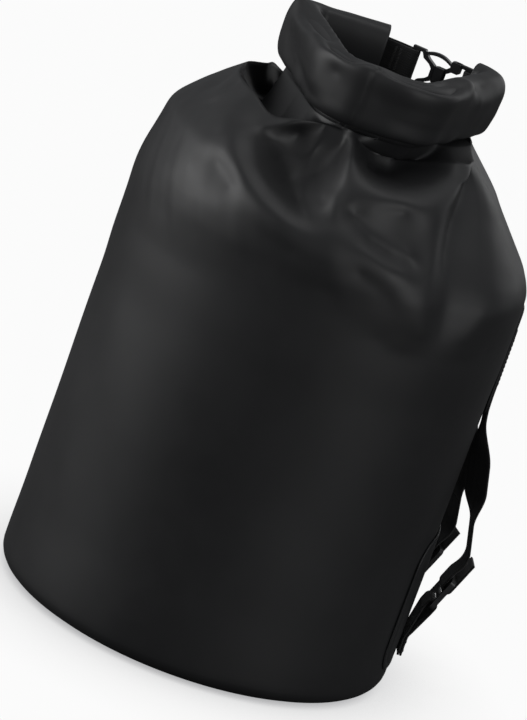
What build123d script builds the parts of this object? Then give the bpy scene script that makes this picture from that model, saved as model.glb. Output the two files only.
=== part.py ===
from build123d import *
import math
import os

# Roll-top dry bag with a pair of webbing shoulder straps, closed and full.
# Frame: origin at the centre of the underside, +Z up, the front faces -Y,
# the harness side faces +X, the closure buckle lies over the rear (+Y).
# All lengths in millimetres, angles in degrees.

os.makedirs("parts", exist_ok=True)


def save(name, part):
    part.label = name
    export_step(part, f"parts/{name}.step")


# ------------------------------------------------------------ band profiles
# A band is a polyline with rounded inner corners, offset equally to both sides.

MIN_LINE = 1e-4                  # shorter straight edges are left out


def unit(x, y):
    length = math.hypot(x, y)
    return x / length, y / length


def left_of(point, heading, distance):
    """Point at a distance to the left of the direction of travel."""
    return point[0] - heading[1] * distance, point[1] + heading[0] * distance


def band_side(path, radii, offset):
    """Edges of the path moved left by offset: 2 points for a line, 3 for an arc."""
    headings = [unit(b[0] - a[0], b[1] - a[1]) for a, b in zip(path, path[1:])]
    edges = []
    start = left_of(path[0], headings[0], offset)
    for corner, radius, before, after in zip(path[1:-1], radii, headings, headings[1:]):
        turn = math.atan2(
            before[0] * after[1] - before[1] * after[0],
            before[0] * after[0] + before[1] * after[1],
        )
        side = 1.0 if turn > 0 else -1.0
        setback = radius * math.tan(abs(turn) / 2)
        tangent = corner[0] - before[0] * setback, corner[1] - before[1] * setback
        centre = left_of(tangent, before, side * radius)
        first_angle = math.atan2(tangent[1] - centre[1], tangent[0] - centre[0])
        arc_r = radius - side * offset
        arc = []
        for fraction in (0.0, 0.5, 1.0):
            angle = first_angle + turn * fraction
            arc.append((centre[0] + arc_r * math.cos(angle), centre[1] + arc_r * math.sin(angle)))
        edges.append((start, arc[0]))
        edges.append(tuple(arc))
        start = arc[2]
    edges.append((start, left_of(path[-1], headings[-1], offset)))
    return edges


def band_outline(path, radii, half_thickness):
    """Draw the closed outline of a band in the current BuildLine."""
    right = band_side(path, radii, -half_thickness)
    left = band_side(path, radii, half_thickness)
    for edge in right + left:
        if len(edge) == 3:
            ThreePointArc(*edge)
        elif math.dist(*edge) > MIN_LINE:
            Line(*edge)
    Line(right[0][0], left[0][0])
    Line(right[-1][-1], left[-1][-1])


def webbing(plane, path, radii, thickness, amount, both=False):
    """A folded strip of webbing: the band on the plane, extruded across its width."""
    with BuildPart() as strip:
        with BuildSketch(plane):
            with BuildLine():
                band_outline(path, radii, thickness / 2)
            make_face()
        extrude(amount=amount, both=both)
    return strip.part


# --------------------------------------------------------------------- bag
BAG_R = 130.0            # outer radius of the filled tube
FABRIC = 1.0             # coated fabric wall
TUBE_TOP_Z = 275.0       # where the shoulders start
EDGE_R = 9.0             # rounded lower edge
HEM = 12.0               # tube hem turned in over the base
BASE_R = BAG_R - EDGE_R
BASE_T = 1.2
BASE_FILLET = 0.5
HEM_Z = BASE_T + 0.05    # underside of the hem, just clear of the base panel
NECK_INSET = 1.4 * FABRIC  # from outer to inner neck section, in plan
# shoulder and neck sections: z, centre x, centre y, half width, half depth
NECK = [
    (286.0, -2.5, 0.0, 126.0, 126.5),
    (300.0, -7.0, 0.0, 118.5, 119.0),
    (315.0, -12.0, 1.0, 110.0, 108.0),
    (330.0, -10.5, 4.0, 96.5, 96.0),
    (347.5, -7.5, 8.0, 79.5, 78.0),
]


def body_tube():
    """Hemmed tube with a rounded lower edge, closing to the neck above."""
    hem_r = BASE_R - HEM
    inner_r = BAG_R - FABRIC
    edge_z = HEM_Z + EDGE_R

    def edge_middle(radius):
        reach = radius * math.sin(math.pi / 4)
        return BASE_R + reach, edge_z - reach

    with BuildPart() as tube:
        with BuildSketch(Plane.XZ):
            with BuildLine():
                Line((hem_r, HEM_Z), (BASE_R, HEM_Z))
                ThreePointArc((BASE_R, HEM_Z), edge_middle(EDGE_R), (BAG_R, edge_z))
                Line((BAG_R, edge_z), (BAG_R, TUBE_TOP_Z))
                Line((BAG_R, TUBE_TOP_Z), (inner_r, TUBE_TOP_Z))
                Line((inner_r, TUBE_TOP_Z), (inner_r, edge_z))
                ThreePointArc(
                    (inner_r, edge_z), edge_middle(EDGE_R - FABRIC), (BASE_R, HEM_Z + FABRIC)
                )
                Line((BASE_R, HEM_Z + FABRIC), (hem_r, HEM_Z + FABRIC))
                Line((hem_r, HEM_Z + FABRIC), (hem_r, HEM_Z))
            make_face()
        revolve(axis=Axis.Z)
        # solid shoulders and neck
        with BuildSketch(Plane.XY.offset(TUBE_TOP_Z)):
            Circle(BAG_R)
        for z, x, y, half_w, half_d in NECK:
            with BuildSketch(Plane.XY.offset(z)):
                with Locations((x, y)):
                    Ellipse(half_w, half_d)
        loft()
        # hollow them, leaving the top closed by one layer of fabric
        with BuildSketch(Plane.XY.offset(TUBE_TOP_Z)):
            Circle(inner_r)
        for z, x, y, half_w, half_d in NECK:
            drop = FABRIC if z == NECK[-1][0] else 0.0
            with BuildSketch(Plane.XY.offset(z - drop)):
                with Locations((x, y)):
                    Ellipse(half_w - NECK_INSET, half_d - NECK_INSET)
        loft(mode=Mode.SUBTRACT)
    return tube.part


def base_panel():
    with BuildPart() as panel:
        with BuildSketch(Plane.XY):
            Circle(BASE_R)
        extrude(amount=BASE_T)
        fillet(panel.edges().filter_by(GeomType.CIRCLE), radius=BASE_FILLET)
    return panel.part


save("body_tube", body_tube())
save("base_panel", base_panel())

# ----------------------------------------------------------- closure layout
ROLL_Z0, ROLL_Z1 = 348.5, 392.0
ROLL_H = ROLL_Z1 - ROLL_Z0
HINGE_X, HINGE_Y = -5.0, -56.0   # front crease the left end swings about
BUCKLE_X, BUCKLE_Y = 30.0, 64.0
BUCKLE_Z = (ROLL_Z0 + ROLL_Z1) / 2 + 3.0

# plan directions: from the buckle to the crease, and from the plug to the socket
FRONT_X, FRONT_Y = unit(HINGE_X - BUCKLE_X, HINGE_Y - BUCKLE_Y)
ALONG_X, ALONG_Y = -FRONT_Y, FRONT_X


def on_buckle(along, front=0.0):
    """Plan position of a point along the buckle and towards the front."""
    return (
        BUCKLE_X + ALONG_X * along + FRONT_X * front,
        BUCKLE_Y + ALONG_Y * along + FRONT_Y * front,
    )


def buckle_plane(x, y):
    """x along the buckle, y up, normal towards the front."""
    return Plane(
        origin=(x, y, BUCKLE_Z), x_dir=(ALONG_X, ALONG_Y, 0), z_dir=(FRONT_X, FRONT_Y, 0)
    )


# -------------------------------------- rolled mouth, a flattened coil in a ring
ROLL_HALF = 12.5         # half thickness of the coil
ROLL_SKIN = 3.0          # wound layers
ROLL_EDGE = 9.0          # rounding of the coil's long edges
STIFF_T, STIFF_H = 1.0, 25.0
SWING_MAX = 25.0
SWING_CLEARANCE = 1.5
SPLIT_GAP = 0.3          # from the split plane to each half
SPLIT_REACH = 160        # the split regions reach past the whole roll
RELIEF_REACH = 120
SPLIT_MARGIN = 5         # above and below the roll

RIGHT_END_S = 22.8
LEFT_END = on_buckle(-40.0)
RIGHT_END = on_buckle(RIGHT_END_S)
# centre line in plan, from the left end round the front to the right end
RING = [
    LEFT_END,
    (-67.0, LEFT_END[1] - 6.5),
    (-30.0, HINGE_Y),
    (28.0, HINGE_Y),
    on_buckle(RIGHT_END_S + 15.2),
    RIGHT_END,
]
RING_RADII = [16.0, 30.0, 30.0, 14.0]

# plan regions of the two halves; the left one is relieved at the crease to swing
RELIEF = math.radians(SWING_MAX + SWING_CLEARANCE)
LEFT_X, RIGHT_X = HINGE_X - SPLIT_GAP, HINGE_X + SPLIT_GAP
LEFT_REGION = [
    (LEFT_X, HINGE_Y),
    (LEFT_X - RELIEF_REACH * math.sin(RELIEF), HINGE_Y - RELIEF_REACH * math.cos(RELIEF)),
    (-SPLIT_REACH, -SPLIT_REACH),
    (-SPLIT_REACH, SPLIT_REACH),
    (LEFT_X, SPLIT_REACH),
]
RIGHT_REGION = [
    (RIGHT_X, -SPLIT_REACH),
    (SPLIT_REACH, -SPLIT_REACH),
    (SPLIT_REACH, SPLIT_REACH),
    (RIGHT_X, SPLIT_REACH),
]


def roll_half(region):
    """The hollow coil, kept only inside the region."""
    with BuildPart() as roll:
        with BuildSketch(Plane.XY.offset(ROLL_Z0)):
            with BuildLine():
                band_outline(RING, RING_RADII, ROLL_HALF)
            make_face()
        extrude(amount=ROLL_H)
        # every top and bottom edge but the straight ones across the two ends
        levels = roll.faces().sort_by(Axis.Z)
        rim = levels[-1].edges() + levels[0].edges()
        long_edges = [
            e for e in rim
            if e.geom_type == GeomType.CIRCLE or abs(e.length - 2 * ROLL_HALF) > 1.0
        ]
        fillet(long_edges, radius=ROLL_EDGE)
        with BuildSketch(Plane.XY.offset(ROLL_Z0 + ROLL_SKIN)):
            with BuildLine():
                band_outline(RING, RING_RADII, ROLL_HALF - ROLL_SKIN)
            make_face()
        extrude(amount=ROLL_H - 2 * ROLL_SKIN, mode=Mode.SUBTRACT)
        with BuildSketch(Plane.XY.offset(ROLL_Z0 - SPLIT_MARGIN)):
            with BuildLine():
                Polyline(*region, close=True)
            make_face()
        extrude(amount=ROLL_H + 2 * SPLIT_MARGIN, mode=Mode.INTERSECT)
    return roll.part


def stiffener_half(region, trim_centre, trim_size):
    """Flat strip inside the roll, trimmed short of the roll's open end."""
    with BuildPart() as strip:
        with BuildSketch(Plane.XY.offset(BUCKLE_Z - STIFF_H / 2)):
            with BuildLine():
                band_outline(RING, RING_RADII, STIFF_T / 2)
            make_face()
        extrude(amount=STIFF_H)
        with BuildSketch(Plane.XY.offset(BUCKLE_Z - STIFF_H)):
            with BuildLine():
                Polyline(*region, close=True)
            make_face()
        extrude(amount=2 * STIFF_H, mode=Mode.INTERSECT)
        with BuildSketch(Plane.XY.offset(BUCKLE_Z - STIFF_H)):
            with Locations(trim_centre):
                Rectangle(*trim_size)
        extrude(amount=2 * STIFF_H, mode=Mode.SUBTRACT)
    return strip.part


save("roll_left", roll_half(LEFT_REGION))
save("roll_right", roll_half(RIGHT_REGION))
save("stiffener_left", stiffener_half(LEFT_REGION, (LEFT_END[0] + 6, LEFT_END[1]), (20, 30)))
save("stiffener_right", stiffener_half(RIGHT_REGION, RIGHT_END, (14, 20)))

# ---------------------------------------------------------- closure webbing
# Each webbing runs inside the roll beside the stiffener, leaves the roll's
# end, folds round a buckle bar and comes back beside itself.
CLOSURE_WEB = 20.0       # webbing width
WEB_T = 1.4              # webbing thickness
LOOP_R = 3.0             # centreline radius round the bar
FOLD_R = LOOP_R - 0.02   # corner radius of the fold, just under a half circle
LEAD_R = 5.0             # corner radius of the strands
PLUG_BAR_S = -19.6       # buckle bars, along the buckle
SOCKET_BAR_S = 19.2

TACK_L, TACK_W, TACK_H = 16.0, 1.2, 0.3
TACK_GAP = 0.02          # from the webbing to the thread
TACK_S = (-26.0, -28.5)  # along the buckle


def fold_round(bar_s, towards):
    """Corners beyond a bar; towards is +1 for webbing coming from -s, -1 from +s."""
    far = bar_s + towards * (LOOP_R + 0.05)
    return [on_buckle(far, LOOP_R), on_buckle(far, -LOOP_R)]


LEFT_WEB_PATH = [
    (-42.0, LEFT_END[1] - 8.2),
    on_buckle(-43.0, 3.2),
    on_buckle(-29.0, LOOP_R),
    *fold_round(PLUG_BAR_S, 1),
    on_buckle(-29.0, -LOOP_R),
    on_buckle(-43.0, -1.7),
    (-24.0, LEFT_END[1] + 0.9),
]
LEFT_WEB_RADII = [LEAD_R, LEAD_R, FOLD_R, FOLD_R, LEAD_R, LEAD_R]
RIGHT_WEB_PATH = [
    on_buckle(29.5, 1.9),
    on_buckle(25.0, LOOP_R),
    *fold_round(SOCKET_BAR_S, -1),
    on_buckle(25.0, -LOOP_R),
    on_buckle(29.5, -1.9),
]
RIGHT_WEB_RADII = [LEAD_R, FOLD_R, FOLD_R, LEAD_R]


def closure_bartack():
    """Raised thread bars on both faces of the doubled left webbing."""
    face = LOOP_R + WEB_T / 2 + TACK_GAP
    with BuildPart() as tacks:
        for front in (face, -face - TACK_H):
            for along in TACK_S:
                with BuildSketch(buckle_plane(*on_buckle(along, front))):
                    SlotOverall(TACK_L, TACK_W, rotation=90)
                extrude(amount=TACK_H)
    return tacks.part


closure_plane = Plane.XY.offset(BUCKLE_Z - CLOSURE_WEB / 2)
for name, path, radii in (
    ("closure_webbing_left", LEFT_WEB_PATH, LEFT_WEB_RADII),
    ("closure_webbing_right", RIGHT_WEB_PATH, RIGHT_WEB_RADII),
):
    save(name, webbing(closure_plane, path, radii, WEB_T, CLOSURE_WEB))
save("closure_bartack_left", closure_bartack())

# ------------------------------------------------------------------ buckle
# Buckle points are (along the buckle from plug to socket, up from its centre line).
BUCKLE_PLANE = buckle_plane(BUCKLE_X, BUCKLE_Y)
HALF_W = 12.5                   # half width of plug and socket
OPENING_HALF_W = 10.4           # half width of the webbing openings
BAR_SPAN = 2 * OPENING_HALF_W
THIN_HALF_T = 1.4               # half thickness of tongue and bars
THIN_CUT = 1.0                  # depth of the cuts that thin them

PLUG_HALF_T = 1.9
PLUG_FILLET = 0.6
PIVOT_S, PIVOT_UP = -10.8, 10.6  # living hinge of each release arm
PIVOT_HOLE_R = 1.35
# half outlines, mirrored below the centre line
PLUG_OUTER = [(-21.2, HALF_W), (-12.6, HALF_W), (-8.6, 8.2), (-3.3, 5.0), (-3.3, 3.1), (3.4, 3.1)]
PLUG_OPENING = [
    (-18.0, OPENING_HALF_W), (-14.0, OPENING_HALF_W), (-12.2, 7.2), (-7.6, 4.9), (-5.4, 2.6),
]
# thinned places of the plug, tongue then bar: centre along, length, width
PLUG_THINNED = [(0.1, 6.8, 7), (PLUG_BAR_S, 3.4, BAR_SPAN)]

ARM_HALF_T = 1.75
ARM_END_R = 1.1                 # rounded end at the living hinge
# upper arm: start, middle and end of its bowed faces, then the barbed tip
ARM_OUTER = [(PIVOT_S, PIVOT_UP + ARM_END_R), (-2.0, 13.3), (6.2, 10.35)]
ARM_INNER = [(PIVOT_S, PIVOT_UP - ARM_END_R), (-2.0, 11.3), (6.2, 8.75)]
ARM_TIP = [(9.5, 10.2), (9.7, 11.9), (11.7, 10.6), (11.7, 8.9)]

SOCKET_HALF_T = 2.0
SOCKET_THICK_HALF_T = 3.2       # sleeve and catch blocks
SOCKET_OUTER = [(-2.6, 5.2), (3.2, 5.2), (6.8, 8.4), (6.8, HALF_W), (20.9, HALF_W)]
SOCKET_OPENING = [
    (4.3, 2.4), (9.2, 6.1), (12.9, 6.1), (12.9, OPENING_HALF_W), (17.5, OPENING_HALF_W),
]
BLOCK_CORNER_R = 0.8
TONGUE_SLOT_HALF_T = 1.8
POCKET_HALF_T = 2.0
SOCKET_BAR_CUT = 3.6            # length of the cut that thins the bar


def mirrored(half):
    """Half outline followed by its mirror image below the centre line."""
    return half + [(along, -up) for along, up in reversed(half)]


def buckle_plug():
    with BuildPart() as plug:
        with BuildSketch(BUCKLE_PLANE):
            with BuildLine():
                Polyline(*mirrored(PLUG_OUTER), close=True)
            make_face()
            with BuildLine():
                Polyline(*mirrored(PLUG_OPENING), close=True)
            make_face(mode=Mode.SUBTRACT)
            with Locations((PIVOT_S, PIVOT_UP), (PIVOT_S, -PIVOT_UP)):
                Circle(PIVOT_HOLE_R, mode=Mode.SUBTRACT)
        extrude(amount=PLUG_HALF_T, both=True)
        longest = plug.edges().filter_by(GeomType.LINE).group_by(SortBy.LENGTH)[-1]
        fillet(longest, radius=PLUG_FILLET)
        # the tongue and the webbing bar are thinner than the frame
        for along, length, width in PLUG_THINNED:
            for side in (1, -1):
                with BuildSketch(BUCKLE_PLANE.offset(THIN_HALF_T * side)):
                    with Locations((along, 0)):
                        Rectangle(length, width)
                extrude(amount=THIN_CUT * side, mode=Mode.SUBTRACT)
    return plug.part


def release_arm(side):
    """One bowed release arm with its barbed tip; side is +1 above, -1 below."""
    outer, inner, tip = (
        [(along, up * side) for along, up in points] for points in (ARM_OUTER, ARM_INNER, ARM_TIP)
    )
    with BuildPart() as arm:
        with BuildSketch(BUCKLE_PLANE):
            with BuildLine():
                ThreePointArc(*outer)
                Polyline(outer[-1], *tip, inner[-1])
                ThreePointArc(*inner)
                ThreePointArc(inner[0], (PIVOT_S - ARM_END_R, PIVOT_UP * side), outer[0])
            make_face()
        extrude(amount=ARM_HALF_T, both=True)
    return arm.part


def buckle_socket():
    with BuildPart() as socket:
        # sleeve at the waist, struts out to the two catch blocks, rails, bar
        with BuildSketch(BUCKLE_PLANE):
            with BuildLine():
                Polyline(*mirrored(SOCKET_OUTER), close=True)
            make_face()
            with BuildLine():
                Polyline(*mirrored(SOCKET_OPENING), close=True)
            make_face(mode=Mode.SUBTRACT)
        extrude(amount=SOCKET_HALF_T, both=True)
        # sleeve and catch blocks are thicker
        with BuildSketch(BUCKLE_PLANE):
            with Locations((0.5, 0)):
                RectangleRounded(6.2, 10.4, BLOCK_CORNER_R)
            with Locations((9.85, 9.05), (9.85, -9.05)):
                RectangleRounded(6.1, 6.9, BLOCK_CORNER_R)
        extrude(amount=SOCKET_THICK_HALF_T, both=True)
        # slot for the tongue
        with BuildSketch(BUCKLE_PLANE):
            with Locations((0.85, 0)):
                Rectangle(7.2, 7.2)
        extrude(amount=TONGUE_SLOT_HALF_T, both=True, mode=Mode.SUBTRACT)
        # pockets for the arm tips, then for their barbs
        with BuildSketch(BUCKLE_PLANE):
            with Locations((9.3, 8.7), (9.3, -8.7)):
                Rectangle(6.0, 3.6)
            with Locations((10.7, 11.5), (10.7, -11.5)):
                Rectangle(2.8, 4.0)
        extrude(amount=POCKET_HALF_T, both=True, mode=Mode.SUBTRACT)
        # the webbing bar is thinner
        for side in (1, -1):
            with BuildSketch(BUCKLE_PLANE.offset(THIN_HALF_T * side)):
                with Locations((SOCKET_BAR_S, 0)):
                    Rectangle(SOCKET_BAR_CUT, BAR_SPAN)
            extrude(amount=THIN_CUT * side, mode=Mode.SUBTRACT)
    return socket.part


save("buckle_plug", buckle_plug())
save("release_arm_upper", release_arm(1))
save("release_arm_lower", release_arm(-1))
save("buckle_socket", buckle_socket())

# ---------------------------------------------------------- harness patches
# Azimuths are measured from +X towards +Y.
HARNESS_AZ = 15.0
PATCH_T = 1.1
PATCH_R = BAG_R + 0.05   # inner radius, just clear of the tube
PATCH_REACH = 150        # the cutting prism runs from the axis past the wall


def strap_patch(ring_z, ring_h, azimuth, centre_z, size, corner_r):
    """Rounded rectangle of a thin ring round the tube; size is (width, height)."""
    angle = math.radians(azimuth)
    cut_plane = Plane(
        origin=(0, 0, centre_z),
        x_dir=(-math.sin(angle), math.cos(angle), 0),
        z_dir=(math.cos(angle), math.sin(angle), 0),
    )
    with BuildPart() as patch:
        with BuildSketch(Plane.XY.offset(ring_z)):
            Circle(PATCH_R + PATCH_T)
            Circle(PATCH_R, mode=Mode.SUBTRACT)
        extrude(amount=ring_h)
        with BuildSketch(cut_plane):
            RectangleRounded(*size, corner_r)
        extrude(amount=PATCH_REACH, mode=Mode.INTERSECT)
    return patch.part


save("strap_patch_upper", strap_patch(180, 90, HARNESS_AZ, 228, (78, 74), 12))
save("strap_patch_lower", strap_patch(12, 110, HARNESS_AZ - 1, 64, (146, 92), 18))

# ----------------------------------------------------------- harness straps
# Strap points are (out from the wall, up along the strap).
STRAP_W = 25.0
STRAP_T = 1.5
STRAP_MID_Z = 140.0      # height of the strap planes' origins


def strap_plane(azimuth, tilt):
    """x away from the wall, y up along the strap, z across the webbing."""
    angle, lean = math.radians(azimuth), math.radians(tilt)
    outward = Vector(math.cos(angle), math.sin(angle), 0)
    sideways = Vector(-math.sin(angle), math.cos(angle), 0)
    upward = Vector(0, 0, 1) * math.cos(lean) + sideways * math.sin(lean)
    return Plane(
        origin=outward * BAG_R + Vector(0, 0, STRAP_MID_Z),
        x_dir=outward,
        z_dir=outward.cross(upward),
    )


# the near strap is the one closer to the front
STRAPS = {"near": strap_plane(4.5, 4.8), "far": strap_plane(25.5, -4.8)}

FLAT = 2.15              # centreline offset of webbing lying on a patch
TAIL = 3.9               # the same for the loop's outer end
BOW = (25.0, -45.0)      # where the strap stands furthest out
FOOT = (3.1, -98.0)      # the adjuster lies on the line from BOW to here
DOWN = unit(FOOT[0] - BOW[0], FOOT[1] - BOW[1])
OUT = (-DOWN[1], DOWN[0])        # away from the bag
ADJ_DROP = 26.0          # from BOW to the adjuster's centre
ADJ = (BOW[0] + DOWN[0] * ADJ_DROP, BOW[1] + DOWN[1] * ADJ_DROP)

ADJ_W, ADJ_L, ADJ_T = 33.0, 24.0, 3.2
ADJ_CORNER_R = 3.0
ADJ_SLOT_W = STRAP_W + 1.2
ADJ_SLOT_CORNER_R = 0.8
ADJ_SLOTS = [(-6.35, 4.7), (1.0, 4.8), (7.75, 3.1)]  # centre up the frame, length


def at_adj(up, out):
    """Point up along the adjuster and out from it, away from the bag."""
    return ADJ[0] - DOWN[0] * up + OUT[0] * out, ADJ[1] - DOWN[1] * up + OUT[1] * out


STRAND = 3.15                    # strand offset from the frame's mid-plane
STRAP_TURN = 4.8 - STRAND        # lower end of the strap's fold, gripping bar at 4.8
LOOP_BAR = -10.35                # loop bar, centre along the frame
LOOP_TURN = LOOP_BAR + STRAND    # upper end of the loop's fold
LOOP_START = LOOP_BAR - 4.5

STRAP_PATH = [
    (FLAT, 108.0),
    (FLAT, 50.0),
    (BOW[0] - 0.8, BOW[1]),
    at_adj(14.0, -STRAND),
    at_adj(STRAP_TURN, -STRAND),
    at_adj(STRAP_TURN, STRAND),
    at_adj(27.0, STRAND),
]
STRAP_RADII = [60.0, 16.0, 8.0, 3.1, 3.1]
LOOP_PATH = [
    (FLAT, -116.0),
    (FLAT, -103.0),
    at_adj(LOOP_START, -STRAND),
    at_adj(LOOP_TURN, -STRAND),
    at_adj(LOOP_TURN, STRAND),
    at_adj(LOOP_START, STRAND),
    (TAIL, -102.0),
    (TAIL, -116.0),
]
LOOP_RADII = [5.0, 4.0, 3.1, 3.1, 4.0, 5.0]


def adjuster(strap):
    """Ladder-lock frame: x up along the frame, y across."""
    frame_plane = Plane(
        origin=strap.from_local_coords((ADJ[0], ADJ[1], 0)),
        x_dir=strap.x_dir * -DOWN[0] + strap.y_dir * -DOWN[1],
        z_dir=strap.x_dir * OUT[0] + strap.y_dir * OUT[1],
    )
    with BuildPart() as frame:
        with BuildSketch(frame_plane):
            RectangleRounded(ADJ_L, ADJ_W, ADJ_CORNER_R)
            for centre, length in ADJ_SLOTS:
                with Locations((centre, 0)):
                    RectangleRounded(length, ADJ_SLOT_W, ADJ_SLOT_CORNER_R, mode=Mode.SUBTRACT)
        extrude(amount=ADJ_T / 2, both=True)
    return frame.part


for side, strap in STRAPS.items():
    for piece, path, radii in (
        ("shoulder_strap", STRAP_PATH, STRAP_RADII),
        ("lower_loop", LOOP_PATH, LOOP_RADII),
    ):
        save(f"{piece}_{side}", webbing(strap, path, radii, STRAP_T, STRAP_W / 2, both=True))
    save(f"adjuster_{side}", adjuster(strap))

# --------------------------------------------------------- harness stitching
THREAD_H = 0.35          # raised height of the thread
THREAD_W = 1.0
THREAD_GAP = 0.03        # from the webbing to the thread
BOX_MID, BOX_L, BOX_W = 86.0, 32.0, 18.0
CROSS_INSET = 1.2        # the diagonals span the box less this
ROW_MIDS = (-107.0, -113.0)
ROW_L, ROW_W = 1.6, 20.0


def stitch_plane(strap, centreline, height):
    """Plane on the webbing's outer face: x up the strap, normal away from the wall."""
    face = centreline + STRAP_T / 2 + THREAD_GAP
    return Plane(
        origin=strap.from_local_coords((face, height, 0)), x_dir=strap.y_dir, z_dir=strap.x_dir
    )


def strap_stitching_upper():
    """A box and cross on each shoulder strap."""
    cross_l, cross_w = BOX_L - CROSS_INSET, BOX_W - CROSS_INSET
    diagonal = math.hypot(cross_l, cross_w)
    angle = math.degrees(math.atan2(cross_w, cross_l))
    with BuildPart() as thread:
        for strap in STRAPS.values():
            with BuildSketch(stitch_plane(strap, FLAT, BOX_MID)):
                RectangleRounded(BOX_L, BOX_W, 0.6)
                RectangleRounded(
                    BOX_L - 2 * THREAD_W, BOX_W - 2 * THREAD_W, 0.4, mode=Mode.SUBTRACT
                )
                Rectangle(diagonal, THREAD_W, rotation=angle)
                Rectangle(diagonal, THREAD_W, rotation=-angle)
            extrude(amount=THREAD_H)
    return thread.part


def strap_stitching_lower():
    """Two rows across the end of each lower loop."""
    with BuildPart() as thread:
        for strap in STRAPS.values():
            for height in ROW_MIDS:
                with BuildSketch(stitch_plane(strap, TAIL, height)):
                    RectangleRounded(ROW_L, ROW_W, 0.5)
                extrude(amount=THREAD_H)
    return thread.part


save("strap_stitching_upper", strap_stitching_upper())
save("strap_stitching_lower", strap_stitching_lower())
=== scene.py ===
import bmesh
import bpy
import math
import numpy as np
from mathutils import Matrix, Vector

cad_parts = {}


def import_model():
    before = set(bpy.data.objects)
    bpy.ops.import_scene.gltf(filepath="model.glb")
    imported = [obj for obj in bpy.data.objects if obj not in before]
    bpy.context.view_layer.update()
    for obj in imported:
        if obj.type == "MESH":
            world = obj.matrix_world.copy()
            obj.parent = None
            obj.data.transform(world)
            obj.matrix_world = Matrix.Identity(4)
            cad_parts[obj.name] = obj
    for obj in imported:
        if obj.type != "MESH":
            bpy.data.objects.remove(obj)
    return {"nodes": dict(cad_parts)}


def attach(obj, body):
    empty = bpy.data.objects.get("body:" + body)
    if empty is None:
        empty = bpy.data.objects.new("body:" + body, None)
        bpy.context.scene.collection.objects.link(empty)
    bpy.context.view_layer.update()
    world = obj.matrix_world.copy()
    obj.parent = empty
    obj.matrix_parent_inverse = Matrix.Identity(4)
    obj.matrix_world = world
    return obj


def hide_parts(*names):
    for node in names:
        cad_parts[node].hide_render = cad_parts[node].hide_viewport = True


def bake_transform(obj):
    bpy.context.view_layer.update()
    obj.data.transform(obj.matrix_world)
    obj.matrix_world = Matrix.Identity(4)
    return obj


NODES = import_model()["nodes"]
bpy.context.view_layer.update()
MM = 0.001

# ------------------------------------------------------------------ sizes (mm)
BAG_R = 130.0
EDGE_R = 9.0                                  # rounding between the base and the wall
BASE_R = BAG_R - EDGE_R
CLOTH_Z = 1.25                                # where the cloth lies on the base disc
SHEET_Z0, SHEET_Z1 = 236.0, 347.5             # the folded shoulder, up to its rim
ROLL_Z0, ROLL_Z1, ROLL_HALF = 348.5, 392.0, 12.5
HINGE = (-5.0, -56.0)                         # middle of the roll's front run
BUCKLE_C, BUCKLE_Z = (30.0, 64.0), 373.25
WEB_W, WEB_T = 20.0, 1.4                      # closure webbing
STRAP_W, STRAP_T = 25.0, 1.5


# ------------------------------------------------------------------ plane geometry
def unit(x, y):
    length = math.hypot(x, y)
    return x / length, y / length


def distances(points):
    """Distance of each point from the first, along the line through them."""
    return np.r_[0, np.cumsum(np.linalg.norm(np.diff(points, axis=0), axis=1))]


def tangents(points):
    along = np.gradient(points, axis=0)
    return along / np.linalg.norm(along, axis=1)[:, None]


def fillet_path(corners, radii, step=1.0):
    """Points about step apart along a polyline whose inner corners are rounded."""
    points = []
    headings = [unit(b[0] - a[0], b[1] - a[1]) for a, b in zip(corners, corners[1:])]

    def add_line(start, end):
        dx, dy = end[0] - start[0], end[1] - start[1]
        count = max(1, int(math.hypot(dx, dy) / step))
        for i in range(count):
            points.append((start[0] + dx * i / count, start[1] + dy * i / count))

    start = corners[0]
    for corner, (in_x, in_y), (out_x, out_y), radius in zip(
            corners[1:-1], headings, headings[1:], radii):
        turn = math.atan2(in_x * out_y - in_y * out_x, in_x * out_x + in_y * out_y)
        setback = radius * math.tan(abs(turn) / 2)
        side = 1.0 if turn > 0 else -1.0
        x, y = corner[0] - in_x * setback, corner[1] - in_y * setback
        centre_x, centre_y = x - in_y * side * radius, y + in_x * side * radius
        add_line(start, (x, y))
        count = max(3, int(radius * abs(turn) / step))
        first = math.atan2(y - centre_y, x - centre_x)
        arc = [(centre_x + radius * math.cos(angle), centre_y + radius * math.sin(angle))
               for angle in (first + turn * i / count for i in range(count))]
        points.extend(arc)
        last = first + turn
        start = (centre_x + radius * math.cos(last), centre_y + radius * math.sin(last))
    add_line(start, corners[-1])
    points.append(tuple(corners[-1]))
    return np.array(points)


def resample(points, values, step):
    """The same polyline and its values at even spacing of about step."""
    run = distances(points)
    places = np.linspace(0, run[-1], max(2, int(run[-1] / step) + 1))
    columns = [np.interp(places, run, points[:, c]) for c in range(2)]
    return np.stack(columns, 1), np.interp(places, run, values)


# ------------------------------------------------------------------ the closure ring in plan
# From the buckle to the hinge, and along the buckle towards +X.
TO_HINGE = unit(HINGE[0] - BUCKLE_C[0], HINGE[1] - BUCKLE_C[1])
ALONG_BUCKLE = (-TO_HINGE[1], TO_HINGE[0])


def on_buckle(along, forward=0.0):
    return tuple(BUCKLE_C[i] + ALONG_BUCKLE[i] * along + TO_HINGE[i] * forward for i in (0, 1))


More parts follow.
